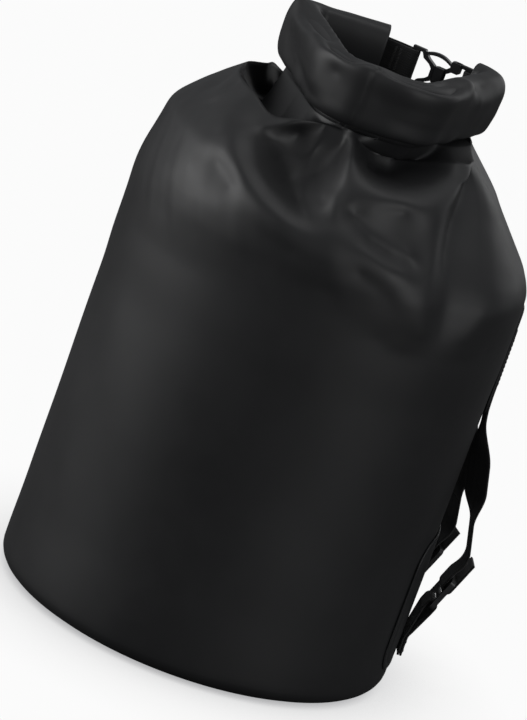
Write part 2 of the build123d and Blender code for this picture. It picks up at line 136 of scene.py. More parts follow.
# The ring runs from the buckle's plug round the left, front and right to its socket.
LEFT_END, RIGHT_END, RIGHT_CORNER = on_buckle(-40.0), on_buckle(22.8), on_buckle(38.0)
RING_CORNERS = [LEFT_END, (-67.0, LEFT_END[1] - 6.5), (-30.0, HINGE[1]), (28.0, HINGE[1]),
                RIGHT_CORNER, RIGHT_END]
RING = fillet_path(RING_CORNERS, [16.0, 30.0, 30.0, 14.0], 0.8)
RING_TANGENT = tangents(RING)
RING_INWARD = np.stack([-RING_TANGENT[:, 1], RING_TANGENT[:, 0]], 1)
RING_RUN = distances(RING)
RING_LEN = float(RING_RUN[-1])
HINGE_RUN = float(RING_RUN[np.argmin(np.hypot(RING[:, 0] - HINGE[0], RING[:, 1] - HINGE[1]))])


def ring_at(run, inset):
    """Plan point at a distance along the ring, moved inwards by inset."""
    run = np.asarray(run, float)
    place = np.clip(run, 0, RING_LEN)
    x, y, inward_x, inward_y = [
        np.interp(place, RING_RUN, column)
        for column in (RING[:, 0], RING[:, 1], RING_INWARD[:, 0], RING_INWARD[:, 1])]
    length = np.hypot(inward_x, inward_y)
    inward_x, inward_y = inward_x / length, inward_y / length
    over = run - place
    return np.stack([x + inward_x * inset + inward_y * over,
                     y + inward_y * inset - inward_x * over], -1)


# ------------------------------------------------------------------ envelope of the filled bag
# z, centre x, centre y, half width in x, half width in y
LEVELS = np.array([
    (0, 0, 0, 130, 130), (262, 0, 0, 130, 130), (275, -0.3, 0, 129.4, 129.4),
    (286, -2.5, 0, 126, 126.5), (300, -7, 0, 118.5, 119), (315, -12, 1, 110, 108),
    (330, -10.5, 4, 96.5, 96), (347.5, -7.5, 8, 79.5, 78)], float)


def soften(levels, width=3.2, step=0.5, reach=60):
    """The same profile on a fine grid, its corners rounded by a bell curve of that width."""
    z = np.arange(0, 347.6, step)
    bell = np.exp(-0.5 * (np.arange(-reach, reach + 1) * step / width) ** 2)
    columns = [z]
    for k in (1, 2, 3, 4):
        value = np.interp(z, levels[:, 0], levels[:, k])
        slope = (levels[-1, k] - levels[-2, k]) / (levels[-1, 0] - levels[-2, 0])
        beyond = value[-1] + slope * step * np.arange(1, reach + 1)
        padded = np.r_[np.full(reach, value[0]), value, beyond]
        columns.append(np.convolve(padded, bell / bell.sum(), "valid"))
    return np.stack(columns, 1)


LEVELS = soften(LEVELS)
LEVEL_ARC = np.r_[0, np.cumsum(np.hypot(np.diff(LEVELS[:, 0]), np.diff(LEVELS[:, 3])))]


def envelope(az, z):
    centre_x, centre_y, half_x, half_y = [
        np.interp(z, LEVELS[:, 0], LEVELS[:, k]) for k in (1, 2, 3, 4)]
    return np.stack([centre_x + half_x * np.cos(az), centre_y + half_y * np.sin(az),
                     z + 0 * az], -1)


def arc_of_z(z):
    """Distance up the envelope's profile."""
    return np.interp(z, LEVELS[:, 0], LEVEL_ARC)


# Fold lines on the shoulder: (azimuth deg, height mm, depth mm below the envelope).
# Depth is how far the fabric has sunk inwards; a negative depth stands proud.
# Azimuth -180 is the left, -90 the front, 0 the right and 90 the back.
FOLDS = [
    # the rim of the left hollow
    [(-186, 347.5, 0), (-166.5, 347.5, -2.0), (-146.5, 346, -3.4), (-133, 342.5, -4.2),
     (-126, 341.0, -3.0), (-118, 343.5, 1), (-110, 347.5, 6)],
    # the ridge running down to the point of the front hollow
    [(-131, 339, -3.6), (-127, 327.5, -5.2), (-120, 318, -6.0), (-113, 308.6, -6.0),
     (-104, 301, -5.4), (-96.5, 295.3, -4.4), (-91.5, 295.6, -4.6), (-88.0, 301, -4.4)],
    # its floor
    [(-121, 334, 9.5), (-114, 327, 17), (-106, 319, 18.5), (-99, 310, 13), (-94.8, 303, 4.2)],
    [(-115, 340, 14), (-105, 336, 23), (-97.5, 328, 21), (-94.5, 317, 13)],
    [(-106, 346, 15), (-98, 346, 16)],
    [(-92.5, 342, 18), (-91, 328, 12.5), (-90, 314, 6.0)],
    # the right side of the hollow and the lip of the next one
    [(-88.2, 346, 7), (-86.5, 337, 0.4), (-85.0, 321, -1.8), (-86.3, 308, -3.2)],
    [(-86.5, 337, 0.4), (-80.5, 331, -3.4), (-73.5, 327.4, -5.8), (-66, 327.6, -6.4),
     (-54, 332, -6.2), (-41.5, 337.4, -5.2), (-31, 341.9, -4.2), (-24, 346.8, -2.8)],
    # what is behind the lip
    [(-83.0, 345, 12), (-77.5, 340, 18), (-71, 338.0, 21), (-62, 338.4, 22),
     (-51.5, 342.4, 20), (-42, 346, 15)],
    [(-71, 347, 22), (-62, 347, 22)],
    # the long trough that runs down the right shoulder, with a ridge on each side
    [(-27, 340.5, 2.6), (-38.5, 320.5, 5.6), (-45.5, 303, 6.2), (-48.8, 288, 6.2),
     (-50.2, 273.5, 4.6), (-49.8, 257, 1.4)],
    [(-36.5, 338.5, -3.6), (-45, 325, -3.2), (-51.5, 310, -3.4), (-56.5, 296, -3.6),
     (-58.5, 284, -3.8), (-58.5, 270.5, -3.2), (-56.2, 256.5, -2.0)],
    [(-15, 340, -2.4), (-22, 318, -3.0), (-31, 293, -3.8), (-38, 275, -3.4), (-41.5, 257, -2.0)],
    # the soft S fold in front of it
    [(-82.5, 306.5, -2.6), (-79.5, 298.0, -4.2), (-71.5, 292.6, -5.2), (-65, 291.0, -4.6)],
    [(-80.0, 311.5, 0.8), (-74.5, 302.5, 2.2), (-67.5, 298.5, 3.0), (-61.5, 298.0, 2.2)],
    [(-74.5, 316, -2.4), (-64, 319.5, -3.6)],
    [(-78, 283, -1.6), (-69.5, 274, -2.0)],
    # the full left shoulder: a flat-sided facet
    [(-150.5, 343.0, -2.6), (-142.0, 334.5, -2.6), (-135.5, 322.0, -2.6),
     (-134.5, 309, -3.2), (-135.5, 299.5, -4.4)],
    [(-135.5, 299.5, -4.4), (-129, 294.0, -4.4), (-121, 290.5, -4.2),
     (-110.5, 287, -3.6), (-97.5, 282, -2.0)],
    [(-126.5, 309, -3.2), (-119, 302, -3.4)],
    [(-146, 322, -0.4), (-148, 305, -0.4)],
    [(-153.5, 330, 1.4), (-157, 310, 1.2), (-157, 290, 0.2)],
    [(-158, 343.5, -0.8), (-156, 337.5, -1.0)],
    [(-171, 337, 1.8), (-172, 315, 1.0), (-172, 295, 0)],
    # shallow lines low on the front, then on the right
    [(-112, 268, -0.8), (-97, 264, 0), (-84, 266, 0.2)],
    [(-6, 335, -0.6), (5, 330, 0), (8, 323.5, 0), (10.5, 298, 0), (6, 283, 0)],
]

# gathers round the back, where the tube is drawn in towards the roll
BACK_FOLDS = [
    [(30, 346, -2.0), (31, 325, -2.6), (33, 300, -2.4), (35, 282, -1.0)],
    [(44, 346, 9), (44, 330, 7), (45, 306, 3.6), (47, 284, 0.8)],
    [(57, 346, -2.4), (57, 328, -4.4), (61, 302, -4.2), (66, 284, -2.2), (70, 268, -0.8)],
    [(68, 346, 9), (69, 328, 8.5), (73, 308, 5.2), (79, 288, 1.8)],
    [(82, 346, 1), (81, 330, -3.6), (86, 308, -4.8), (93, 288, -3.4), (99, 270, -1.2)],
    [(96, 346, 11), (95, 328, 9.5), (98, 310, 6.4), (106, 290, 2.4)],
    [(110, 346, 2), (109, 330, -2.8), (111, 312, -5.0), (118, 292, -3.8), (124, 272, -1.4)],
    [(122, 346, 9), (123, 330, 7.4), (126, 312, 4.4), (133, 296, 2.0)],
    [(136, 346, -1.8), (137, 330, -4.0), (140, 308, -3.8), (144, 288, -2.0)],
    [(150, 346, 3), (151, 328, 3.5), (153, 308, 2.2), (155, 290, 0.6)],
    [(163, 346, -1.4), (164, 326, -2.4), (165, 304, -1.8)],
    [(66, 284, -2.2), (76, 278, -2.2), (88, 281, -2.2), (93, 288, -3.4)],
    [(93, 288, -3.4), (104, 279, -1.8), (118, 292, -3.8)],
]


def shoulder_map(az_deg, z):
    """A flat map of the shoulder, for measuring distances along it."""
    return np.stack([np.radians(az_deg) * 106.0, arc_of_z(z)], -1)


def fold_points():
    """Map points along every fold and where the cloth lies flat, with their depths."""
    turned = [[(az - 360, z, depth) for az, z, depth in line] for line in BACK_FOLDS]
    points, depths = [], []
    for line in FOLDS + BACK_FOLDS + turned:
        az, z, depth = np.array(line, float).T
        flat, depth = resample(shoulder_map(az, z), depth, 1.6)
        points.append(flat)
        depths.append(depth)
    # the top of the tube is flat, except where the long trough runs into it
    still = [(az, z) for az in range(-316, 141, 8) for z in (236, 246)
             if z == 236 or not -66 < az < -32]
    # so is the cloth under and above the upper patch
    still += [(az, z) for az in (*range(-342, -322, 8), *range(-4, 42, 8))
              for z in (254, 262, 270)]
    az, z = np.array(still, float).T
    return (np.concatenate(points + [shoulder_map(az, z)]),
            np.concatenate(depths + [np.zeros(len(still))]))


def rbf(points, values, where, smooth=0.05, soft=0.8):
    """Surface through the values, creased at them: sum of softened distances."""
    def kernel(a, b):
        squared = ((a[:, None, :] - b[None, :, :]) ** 2).sum(-1)
        return -np.sqrt(squared + soft * soft)

    count = len(points)
    matrix = np.zeros((count + 1, count + 1))
    matrix[:count, :count] = kernel(points, points)
    matrix[:count, :count] += np.eye(count) * smooth
    matrix[:count, count] = 1
    matrix[count, :count] = 1
    weights = np.linalg.solve(matrix, np.r_[values, 0])
    out = np.empty(len(where))
    for k in range(0, len(where), 4000):
        out[k:k + 4000] = kernel(where[k:k + 4000], points) @ weights[:count] + weights[count]
    return out


def smoothstep(low, high, x):
    t = np.clip((x - low) / (high - low), 0, 1)
    return t * t * (3 - 2 * t)


def wobble(x, y, z, seed=0.0):
    """A slow, repeatable unevenness between -1 and 1."""
    return (np.sin(x * 0.031 + 1.3 + seed) * np.cos(z * 0.027 - 0.7 + seed * 1.7)
            + 0.6 * np.sin(y * 0.043 + z * 0.019 + 2.1 - seed)
            + 0.4 * np.sin(x * 0.071 - y * 0.053 + z * 0.061 + seed * 2.3)) / 2.0


# ------------------------------------------------------------------ mesh helpers
def set_all(target, **values):
    for name, value in values.items():
        setattr(target, name, value)


def shade_smooth(mesh):
    mesh.polygons.foreach_set("use_smooth", [True] * len(mesh.polygons))


def new_object(name, verts_mm, faces, uv=None):
    mesh = bpy.data.meshes.new(name)
    mesh.from_pydata((np.asarray(verts_mm, float) * MM).tolist(), [], faces)
    if uv is not None:
        layer = mesh.uv_layers.new(name="UVMap")
        corners = np.empty(len(mesh.loops), int)
        mesh.loops.foreach_get("vertex_index", corners)
        layer.data.foreach_set("uv", np.asarray(uv, np.float32)[corners].ravel())
    shade_smooth(mesh)
    mesh.update()
    ob = bpy.data.objects.new(name, mesh)
    bpy.context.scene.collection.objects.link(ob)
    return ob


def grid_faces(rows, columns, wrap=False):
    faces = []
    for j in range(rows - 1):
        for i in range(columns if wrap else columns - 1):
            a, b = j * columns + i, j * columns + (i + 1) % columns
            faces.append((a, b, b + columns, a + columns))
    return faces


def bake(ob):
    """Applies an object's modifiers."""
    bpy.context.view_layer.update()
    graph = bpy.context.evaluated_depsgraph_get()
    mesh = bpy.data.meshes.new_from_object(
        ob.evaluated_get(graph), preserve_all_data_layers=True, depsgraph=graph)
    old = ob.data
    ob.modifiers.clear()
    ob.data = mesh
    mesh.name = ob.name
    bpy.data.meshes.remove(old)
    shade_smooth(mesh)


def add_thickness(ob, thickness):
    """Thickens a sheet on the back of its faces."""
    solidify = ob.modifiers.new("sheet", "SOLIDIFY")
    solidify.thickness = thickness * MM
    solidify.offset = -1.0


def face_outwards(ob, merge=None):
    """Turns all faces outwards, after merging points within merge mm and splitting big faces."""
    bm = bmesh.new()
    bm.from_mesh(ob.data)
    if merge is not None:
        bmesh.ops.remove_doubles(bm, verts=bm.verts, dist=merge * MM)
        bmesh.ops.triangulate(bm, faces=[face for face in bm.faces if len(face.verts) > 4])
    bmesh.ops.recalc_face_normals(bm, faces=bm.faces)
    bm.to_mesh(ob.data)
    bm.free()
    shade_smooth(ob.data)


def sweep(name, centre, side, normal, section, start=0.0):
    """Moves a closed section (across, thick) along a centre line.

    centre, side and normal have a row per station; section may differ at each station.
    start is the length at the first station, for the UV map.
    """
    count, around = len(centre), section.shape[-2]
    section = np.broadcast_to(section, (count, around, 2))
    verts = (centre[:, None, :] + side[:, None, :] * section[:, :, 0:1]
             + normal[:, None, :] * section[:, :, 1:2])
    uv = np.zeros((count, around, 2))
    uv[:, :, 0] = (start + distances(centre))[:, None] * MM
    uv[:, :, 1] = section[:, :, 0] * MM
    faces = grid_faces(count, around, wrap=True)
    faces.append(tuple(range(around - 1, -1, -1)))
    faces.append(tuple((count - 1) * around + i for i in range(around)))
    ob = new_object(name, verts.reshape(-1, 3), faces, uv.reshape(-1, 2))
    face_outwards(ob)
    return ob


def web_section(width, thick, spans=5):
    """Section of a woven strap: rounded selvedges, slightly thinner between them."""
    half, edge = thick / 2, -width / 2
    selvedge = [(edge, 0.0), (edge + 0.18, half * 0.72), (edge + 0.7, half),
                (edge + 1.9, half * 1.04), (edge + 3.0, half * 0.94)]
    middle = [(edge + 3.0 + (width - 6.0) * i / spans, half * 0.97) for i in range(1, spans)]
    top = selvedge + middle + [(-x, y) for x, y in reversed(selvedge)]
    return np.array(top + [(x, -y) for x, y in reversed(top[1:-1])])


class Stitching:
    """Plump stitches whose ends dip into the cloth, gathered into one mesh."""
    SIDES = 6
    # place along the stitch, share of the thread's radius, lift in radii
    PROFILE = [(0.0, 0.45, -0.75), (0.12, 0.8, -0.1), (0.32, 1.0, 0.22),
               (0.68, 1.0, 0.22), (0.88, 0.8, -0.1), (1.0, 0.45, -0.75)]

    def __init__(self):
        self.verts, self.faces = [], []

    def add(self, start, end, up, radius=0.34, sink=0.1):
        """One stitch from start to end; up points away from the cloth."""
        start, end, up = [np.asarray(v, float) for v in (start, end, up)]
        along = end - start
        length = np.linalg.norm(along)
        along = along / length
        up = up - along * (up @ along)
        up /= np.linalg.norm(up)
        side = np.cross(along, up)
        base, rings = len(self.verts), len(self.PROFILE)
        for place, share, lift in self.PROFILE:
            dip = sink if place in (0.0, 1.0) else 0.0
            centre = start + along * (length * place) + up * (radius * lift - dip)
            for i in range(self.SIDES):
                angle = i * math.pi / 3
                spoke = side * math.cos(angle) + up * math.sin(angle) * 0.8
                self.verts.append(centre + spoke * radius * share)
        for face in grid_faces(rings, self.SIDES, wrap=True):
            self.faces.append(tuple(base + i for i in face))
        self.faces.append(tuple(base + i for i in range(self.SIDES - 1, -1, -1)))
        last = base + (rings - 1) * self.SIDES
        self.faces.append(tuple(last + i for i in range(self.SIDES)))

    def add_line(self, points, up, pitch, gap):
        """Stitches along a polyline."""
        run = distances(points)
        count = max(1, int(round(run[-1] / pitch)))
        for i in range(count):
            start, end = [
                np.array([np.interp(place, run, points[:, c]) for c in range(3)])
                for place in (run[-1] * i / count + gap / 2, run[-1] * (i + 1) / count - gap / 2)]
            self.add(start, end, up)

    def build(self, name):
        return paint(new_object(name, np.array(self.verts), self.faces), THREAD)


# ------------------------------------------------------------------ materials
class Shader:
    """A new node material with short ways to add nodes; each returns an output socket."""

    def __init__(self, name):
        self.material = bpy.data.materials.new(name)
        self.material.use_nodes = True
        self.tree = self.material.node_tree
        self.tree.nodes.clear()
        self.output = self.add("OutputMaterial")
        self.surface = self.add("BsdfPrincipled")
        self.feed(self.output.inputs[0], self.surface.outputs[0])

    def add(self, kind, **props):
        node = self.tree.nodes.new("ShaderNode" + kind)
        set_all(node, **props)
        return node

    def feed(self, socket, value):
        """Gives an input a fixed value or links an output to it."""
        if isinstance(value, (int, float, tuple)):
            socket.default_value = value
        else:
            self.tree.links.new(value, socket)

    def set(self, name, value):
        self.feed(self.surface.inputs[name], value)

    def coords(self, output):
        mapping = self.add_after("Mapping", self.add("TexCoord").outputs[output])
        return mapping.outputs[0]

    def add_after(self, kind, vector, **props):
        """A node with the vector linked to its Vector input."""
        node = self.add(kind, **props)
        self.feed(node.inputs["Vector"], vector)
        return node

    def uv(self):
        """Distances (m) along and across the cloth."""
        uv = self.coords("UV")
        split = self.add("SeparateXYZ")
        self.feed(split.inputs[0], uv)
        return split.outputs[0], split.outputs[1]

    def noise(self, vector, scale, detail=2.0, rough=0.5):
        node = self.add_after("TexNoise", vector)
        node.inputs["Scale"].default_value = scale
        node.inputs["Detail"].default_value = detail
        node.inputs["Roughness"].default_value = rough
        return node.outputs[0]

    def ramp(self, factor, *stops):
        node = self.add("ValToRGB")
        elements = node.color_ramp.elements
        while len(elements) > 1:
            elements.remove(elements[-1])
        elements[0].position, elements[0].color = stops[0][0], (*stops[0][1], 1)
        for position, colour in stops[1:]:
            elements.new(position).color = (*colour, 1)
        self.feed(node.inputs[0], factor)
        return node.outputs[0]

    def span(self, value, of=(0.0, 1.0), to=(0.0, 1.0)):
        """Maps one range of values to another."""
        node = self.add("MapRange")
        for name, limit in zip(("From Min", "From Max", "To Min", "To Max"), (*of, *to)):
            node.inputs[name].default_value = limit
        self.feed(node.inputs[0], value)
        return node.outputs[0]

    def math(self, operation, *values, clamp=False):
        node = self.add("Math", operation=operation, use_clamp=clamp)
        for i, value in enumerate(values):
            self.feed(node.inputs[i], value)
        return node.outputs[0]

    def ripple(self, value, pitch):
        """A sine wave of that pitch (m)."""
        return self.math("SINE", self.math("MULTIPLY", value, 2 * math.pi / pitch))

    def weighted(self, *parts):
        """The sum of (value, weight) pairs."""
        total = None
        for value, weight in parts:
            part = self.math("MULTIPLY", value, weight)
            total = part if total is None else self.math("ADD", total, part)
        return total

    def pointiness(self, of):
        edge = self.add("NewGeometry").outputs["Pointiness"]
        return self.span(edge, of=of)

    def worn_colour(self, base, wear, share, colour):
        """Base colour that turns to another by a share of the wear."""
        mix = self.add("Mix", data_type="RGBA")
        self.feed(mix.inputs[0], self.math("MULTIPLY", wear, share))
        self.feed(mix.inputs[6], base)
        self.feed(mix.inputs[7], (*colour, 1))
        self.set("Base Color", mix.outputs[2])

    def bump(self, height, strength, distance, normal=None):
        node = self.add("Bump")
        node.inputs["Strength"].default_value = strength
        node.inputs["Distance"].default_value = distance
        self.feed(node.inputs["Height"], height)
        if normal is not None:
            self.feed(node.inputs["Normal"], normal)
        return node.outputs[0]


def coated_cloth(name):
    """PVC-coated cloth: near-black satin skin, fine grain, the scrim just showing through."""
    sh = Shader(name)
    place = sh.coords("Object")
    broad = sh.noise(place, scale=9.0, detail=4.0, rough=0.55)
    medium = sh.noise(place, scale=60.0, detail=4.0, rough=0.6)
    base = sh.ramp(broad, (0.3, (0.0115, 0.0117, 0.0125)), (0.7, (0.0165, 0.0168, 0.0178)))
    wear = sh.pointiness(of=(0.53, 0.62))
    wear = sh.math("MULTIPLY", wear, sh.span(medium, of=(0.45, 0.65), to=(0.2, 1.0)), clamp=True)
    sh.worn_colour(base, wear, share=0.35, colour=(0.045, 0.046, 0.048))
    sh.set("Roughness", sh.math("ADD", sh.span(broad, of=(0.3, 0.7), to=(0.47, 0.53)),
                                sh.span(medium, of=(0.3, 0.7), to=(-0.03, 0.03))))
    sh.set("Specular IOR Level", 0.48)
    # calender grain, with the scrim under it
    grain = sh.add_after("TexVoronoi", place, feature="SMOOTH_F1")
    grain.inputs["Scale"].default_value = 1500.0
    fine = sh.noise(place, scale=900.0, detail=3.0, rough=0.6)
    along, across = sh.uv()
    scrim = sh.math("ADD", sh.ripple(along, pitch=0.0011), sh.ripple(across, pitch=0.0011))
    height = sh.weighted((grain.outputs[0], 0.5), (fine, 0.6), (scrim, 0.10))
    normal = sh.bump(height, strength=0.22, distance=0.00005)
    sh.set("Normal", sh.bump(medium, strength=0.10, distance=0.0004, normal=normal))
    return sh.material


def webbing(name):
    """Woven strap: weft ribs across the length with warp yarns stepping over them."""
    sh = Shader(name)
    along, across = sh.uv()
    # a chevron twill: the phase along the strap follows the distance across it
    zigzag = sh.math("PINGPONG", across, 0.0031)
    per_rib = 2 * math.pi / 0.0013
    phase = sh.weighted((along, per_rib), (zigzag, per_rib))
    ribs = sh.span(sh.math("SINE", phase), of=(-1.0, 1.0))
    yarn = sh.span(sh.ripple(across, pitch=0.00155), of=(-1.0, 1.0))
    height = sh.weighted((ribs, 0.65), (yarn, 0.35))
    fuzz = sh.noise(sh.coords("Object"), scale=1400.0, detail=3.0, rough=0.7)
    height = sh.math("ADD", height, sh.math("MULTIPLY", fuzz, 0.35))
    # the colour follows the height of the weave: painted shade in its hollows and a painted
    # highlight on its raised yarns
    sh.set("Base Color", sh.ramp(sh.span(height, of=(0.2, 1.2)), (0.0, (0.004,) * 3),
                                 (0.55, (0.012, 0.012, 0.0125)), (1.0, (0.022, 0.022, 0.023))))
    sh.set("Roughness", sh.span(fuzz, to=(0.62, 0.8)))
    sh.set("Specular IOR Level", 0.35)
    sh.set("Sheen Weight", 0.18)
    sh.set("Sheen Roughness", 0.45)
    sh.set("Normal", sh.bump(height, strength=0.75, distance=0.00028))
    return sh.material


def twisted_thread(name):
    """Thread with its twist as slanting bands."""
    sh = Shader(name)
    bands = sh.add_after("TexWave", sh.coords("Object"),
                         wave_type="BANDS", bands_direction="DIAGONAL")
    bands.inputs["Scale"].default_value = 900.0
    bands.inputs["Distortion"].default_value = 1.5
    twist = bands.outputs[0]
    # the colour follows the twist's relief: painted shade in the grooves between the plies and a
    # painted highlight on their crowns
    sh.set("Base Color", sh.ramp(twist, (0.0, (0.012,) * 3), (1.0, (0.04,) * 3)))
    sh.set("Roughness", 0.5)
    sh.set("Sheen Weight", 0.2)
    sh.set("Normal", sh.bump(twist, strength=0.5, distance=0.0001))
    return sh.material


def moulded_plastic(name):
    """Moulded acetal: spark-eroded grain, a little polished on the edges."""
    sh = Shader(name)
    place = sh.coords("Object")
    fine = sh.noise(place, scale=2600.0)
    medium = sh.noise(place, scale=160.0, detail=3.0, rough=0.55)
    edge = sh.pointiness(of=(0.52, 0.66))
    base = sh.ramp(medium, (0.3, (0.010, 0.010, 0.011)), (0.7, (0.014, 0.014, 0.015)))
    sh.worn_colour(base, edge, share=0.5, colour=(0.05, 0.05, 0.052))
    sh.set("Roughness", sh.math("SUBTRACT", sh.span(medium, to=(0.34, 0.44)),
                                sh.math("MULTIPLY", edge, 0.12)))
    sh.set("Normal", sh.bump(fine, strength=0.25, distance=0.00006))
    return sh.material


def stiffener_sheet(name):
    """Plain dark sheet with a faint mottle."""
    sh = Shader(name)
    mottle = sh.noise(sh.coords("Object"), scale=220.0, detail=3.0, rough=0.55)
    sh.set("Base Color", sh.ramp(mottle, (0.3, (0.02, 0.02, 0.021)), (0.7, (0.028, 0.028, 0.03))))
    sh.set("Roughness", sh.span(mottle, to=(0.45, 0.6)))
    sh.set("Normal", sh.bump(mottle, strength=0.2, distance=0.0001))
    return sh.material


FABRIC = coated_cloth("coated_cloth")
FABRIC_ROLL = coated_cloth("coated_cloth_roll")
WEBBING = webbing("webbing_black")
THREAD = twisted_thread("bonded_thread")
PLASTIC = moulded_plastic("moulded_acetal")
STIFF = stiffener_sheet("stiffener_sheet")


def paint(ob, material):
    ob.data.materials.clear()
    ob.data.materials.append(material)
    return ob


# ------------------------------------------------------------------ the bag's cloth
# Tube, shoulder and neck are one sheet; a sheet has rows going up and columns going round.
ROWS_IN_ROLL = 6          # the last rows stand upright inside the roll

# How far the cloth sags between the shoulder rim and the roll: (azimuth deg, mm).
NECK_SAG = np.array([
    (-268, 8), (-235, 12), (-200, 22), (-175, 24), (-150, 26), (-130, 20), (-115, 7), (-100, 1),
    (-90, 0), (-75, 3), (-50, 6), (-30, 3), (-12, 1), (5, 0.5), (25, 3), (60, 7), (92, 8)], float)


def sheet_columns(count):
    """Azimuth, and the angle from the front (+ towards +X), of each column of the sheet."""
    turn = np.arange(count) / count * 2 * math.pi
    return -math.pi / 2 + turn, (turn + math.pi) % (2 * math.pi) - math.pi


def neck_targets(from_front):
    """Plan point where each column enters the roll: front half outside, back half inside."""
    run, inset = np.zeros(len(from_front)), np.zeros(len(from_front))
    for i, angle in enumerate(from_front):
        if abs(angle) <= math.pi / 2:
            share, side = angle / (math.pi / 2), -1
        else:
            share = (math.pi - abs(angle)) / (math.pi / 2) * math.copysign(1, angle)
            side = 1
        reach = RING_LEN - HINGE_RUN - 3 if share > 0 else HINGE_RUN - 3
        run[i] = HINGE_RUN + share * reach
        near_end = 1 - min(1.0, (1 - abs(share)) / 0.06)
        inset[i] = 5.0 + side * 4.0 * min(1.0, math.sqrt(max(0.0, 1 - near_end ** 2)))
    return ring_at(run, inset)


def shoulder_rows(az_deg, count):
    """The shoulder, from the top of the tube to the rim below the roll."""
    arcs = np.linspace(float(arc_of_z(SHEET_Z0)), float(arc_of_z(SHEET_Z1)), count)
    az, z = np.meshgrid(az_deg, np.interp(arcs, LEVEL_ARC, LEVELS[:, 0]))
    points, depths = fold_points()
    depth = rbf(points, depths, shoulder_map(az.ravel(), z.ravel())).reshape(az.shape)
    rows = envelope(np.radians(az), z)
    # small unevenness of the cloth itself, calm above the upper patch
    x, y = rows[..., 0], rows[..., 1]
    uneven = (wobble(x * 2.6, y * 2.6, z * 2.2, 2.0)
              + 0.6 * wobble(x * 5.2, y * 4.9, z * 4.1, 5.0))
    calm = 1 - np.exp(-((az - 15) / 26.0) ** 2) * (1 - smoothstep(268, 280, z))
    depth += 0.42 * uneven * smoothstep(250, 275, z) * calm
    depth *= smoothstep(236, 248, z)
    centre = np.stack([np.interp(z, LEVELS[:, 0], LEVELS[:, k]) for k in (1, 2)], -1)
    outward = rows[:, :, :2] - centre
    outward /= np.linalg.norm(outward, axis=-1)[..., None]
    rows[:, :, :2] -= outward * depth[..., None]
    # sunken cloth also hangs lower
    hang = 0.42 * smoothstep(285, 320, z) * (
        1 - 0.8 * smoothstep(330, 347, z) * smoothstep(-84, -92, az))
    rows[:, :, 2] -= np.clip(depth, 0, None) * hang
    # the rim drops round the back and at the left of the front hollow
    at_back = np.clip(smoothstep(24, 58, az) + smoothstep(-214, -240, az), 0, 1)
    rows[:, :, 2] -= 12.0 * at_back * smoothstep(312, 347.5, z) ** 1.3
    rows[:, :, 2] -= 7.0 * np.exp(-((az + 127) / 11.0) ** 2) * smoothstep(322, 346, z)
    rows[:, :, 2] -= 2.0 * at_back * smoothstep(290, 330, z)
    # and is tucked in on the right
    tuck = np.exp(-((az - 6) / 22.0) ** 2) * smoothstep(320, 347.5, z)
    rows[:, :, 0] -= 6.5 * tuck
    rows[:, :, 2] -= 3.0 * tuck
    return rows


def designed_sheet(columns, shoulder_count, neck_count):
    """Shoulder and neck before the cloth settles.

    Returns the sheet, its azimuths and each row's place along it: 0-1 up the shoulder,
    1-2 in under the roll, more inside the roll.
    """
    az, from_front = sheet_columns(columns)
    entry = neck_targets(from_front)
    az_deg = np.degrees(az)
    az_deg = np.where(az_deg > 92, az_deg - 360, az_deg)          # -268 .. 92, cut at the back
    shoulder = shoulder_rows(az_deg, shoulder_count)

    def upright(z):
        return np.concatenate([entry, np.full((columns, 1), z)], 1)

    top = upright(351.0)
    sag = np.interp(az_deg, NECK_SAG[:, 0], NECK_SAG[:, 1])
    shares = np.arange(1, neck_count + 1) / (neck_count + 1.0)
    neck = []
    for share in shares:
        row = shoulder[-1] * (1 - share) + top * share
        row[:, 2] -= sag * np.sin(math.pi * min(1.0, share ** 0.8))
        neck.append(row)
    hidden = [upright(z) for z in (353.0, 355.0, 357.0, 359.0, 361.0)]
    along = np.r_[np.linspace(0, 1, shoulder_count), 1 + shares,
                  2.0 + 0.04 * np.arange(ROWS_IN_ROLL)]
    return np.concatenate([shoulder, np.array(neck + [top] + hidden)], 0), az_deg, along


def cloth_weights(sheet, az_deg, shoulder_count):
    """Vertex group values: how firmly cloth is held, how it may grow, and its pressure."""
    rows, columns = sheet.shape[:2]
    az = np.repeat(az_deg[None], rows, 0)
    back = np.clip(smoothstep(26, 52, az) + smoothstep(-206, -228, az), 0, 1)
    row = np.arange(rows)[:, None] + 0 * az
    pin = np.zeros((rows, columns))
    pin[0:2] = 1.0
    pin[-ROWS_IN_ROLL:] = 1.0
    front_pin = np.where(row < shoulder_count, 0.94, 0.9)
    back_pin = np.where(row < 8, 0.9, np.where(row < shoulder_count, 0.62, 0.7))
    pin = np.maximum(pin, front_pin * (1 - back) + back_pin * back)
    at_patch = (np.abs((az - 15 + 180) % 360 - 180) < 22) & (sheet[:, :, 2] < 269)
    pin = np.where(at_patch, 1.0, pin)
    grow = back * np.where(row < 8, 0.2, 1.0)
    press = np.clip(1 - (row - shoulder_count * 0.75) / (shoulder_count * 0.35), 0.12, 1) * back
    return {"pin": pin, "grow": grow, "press": press}


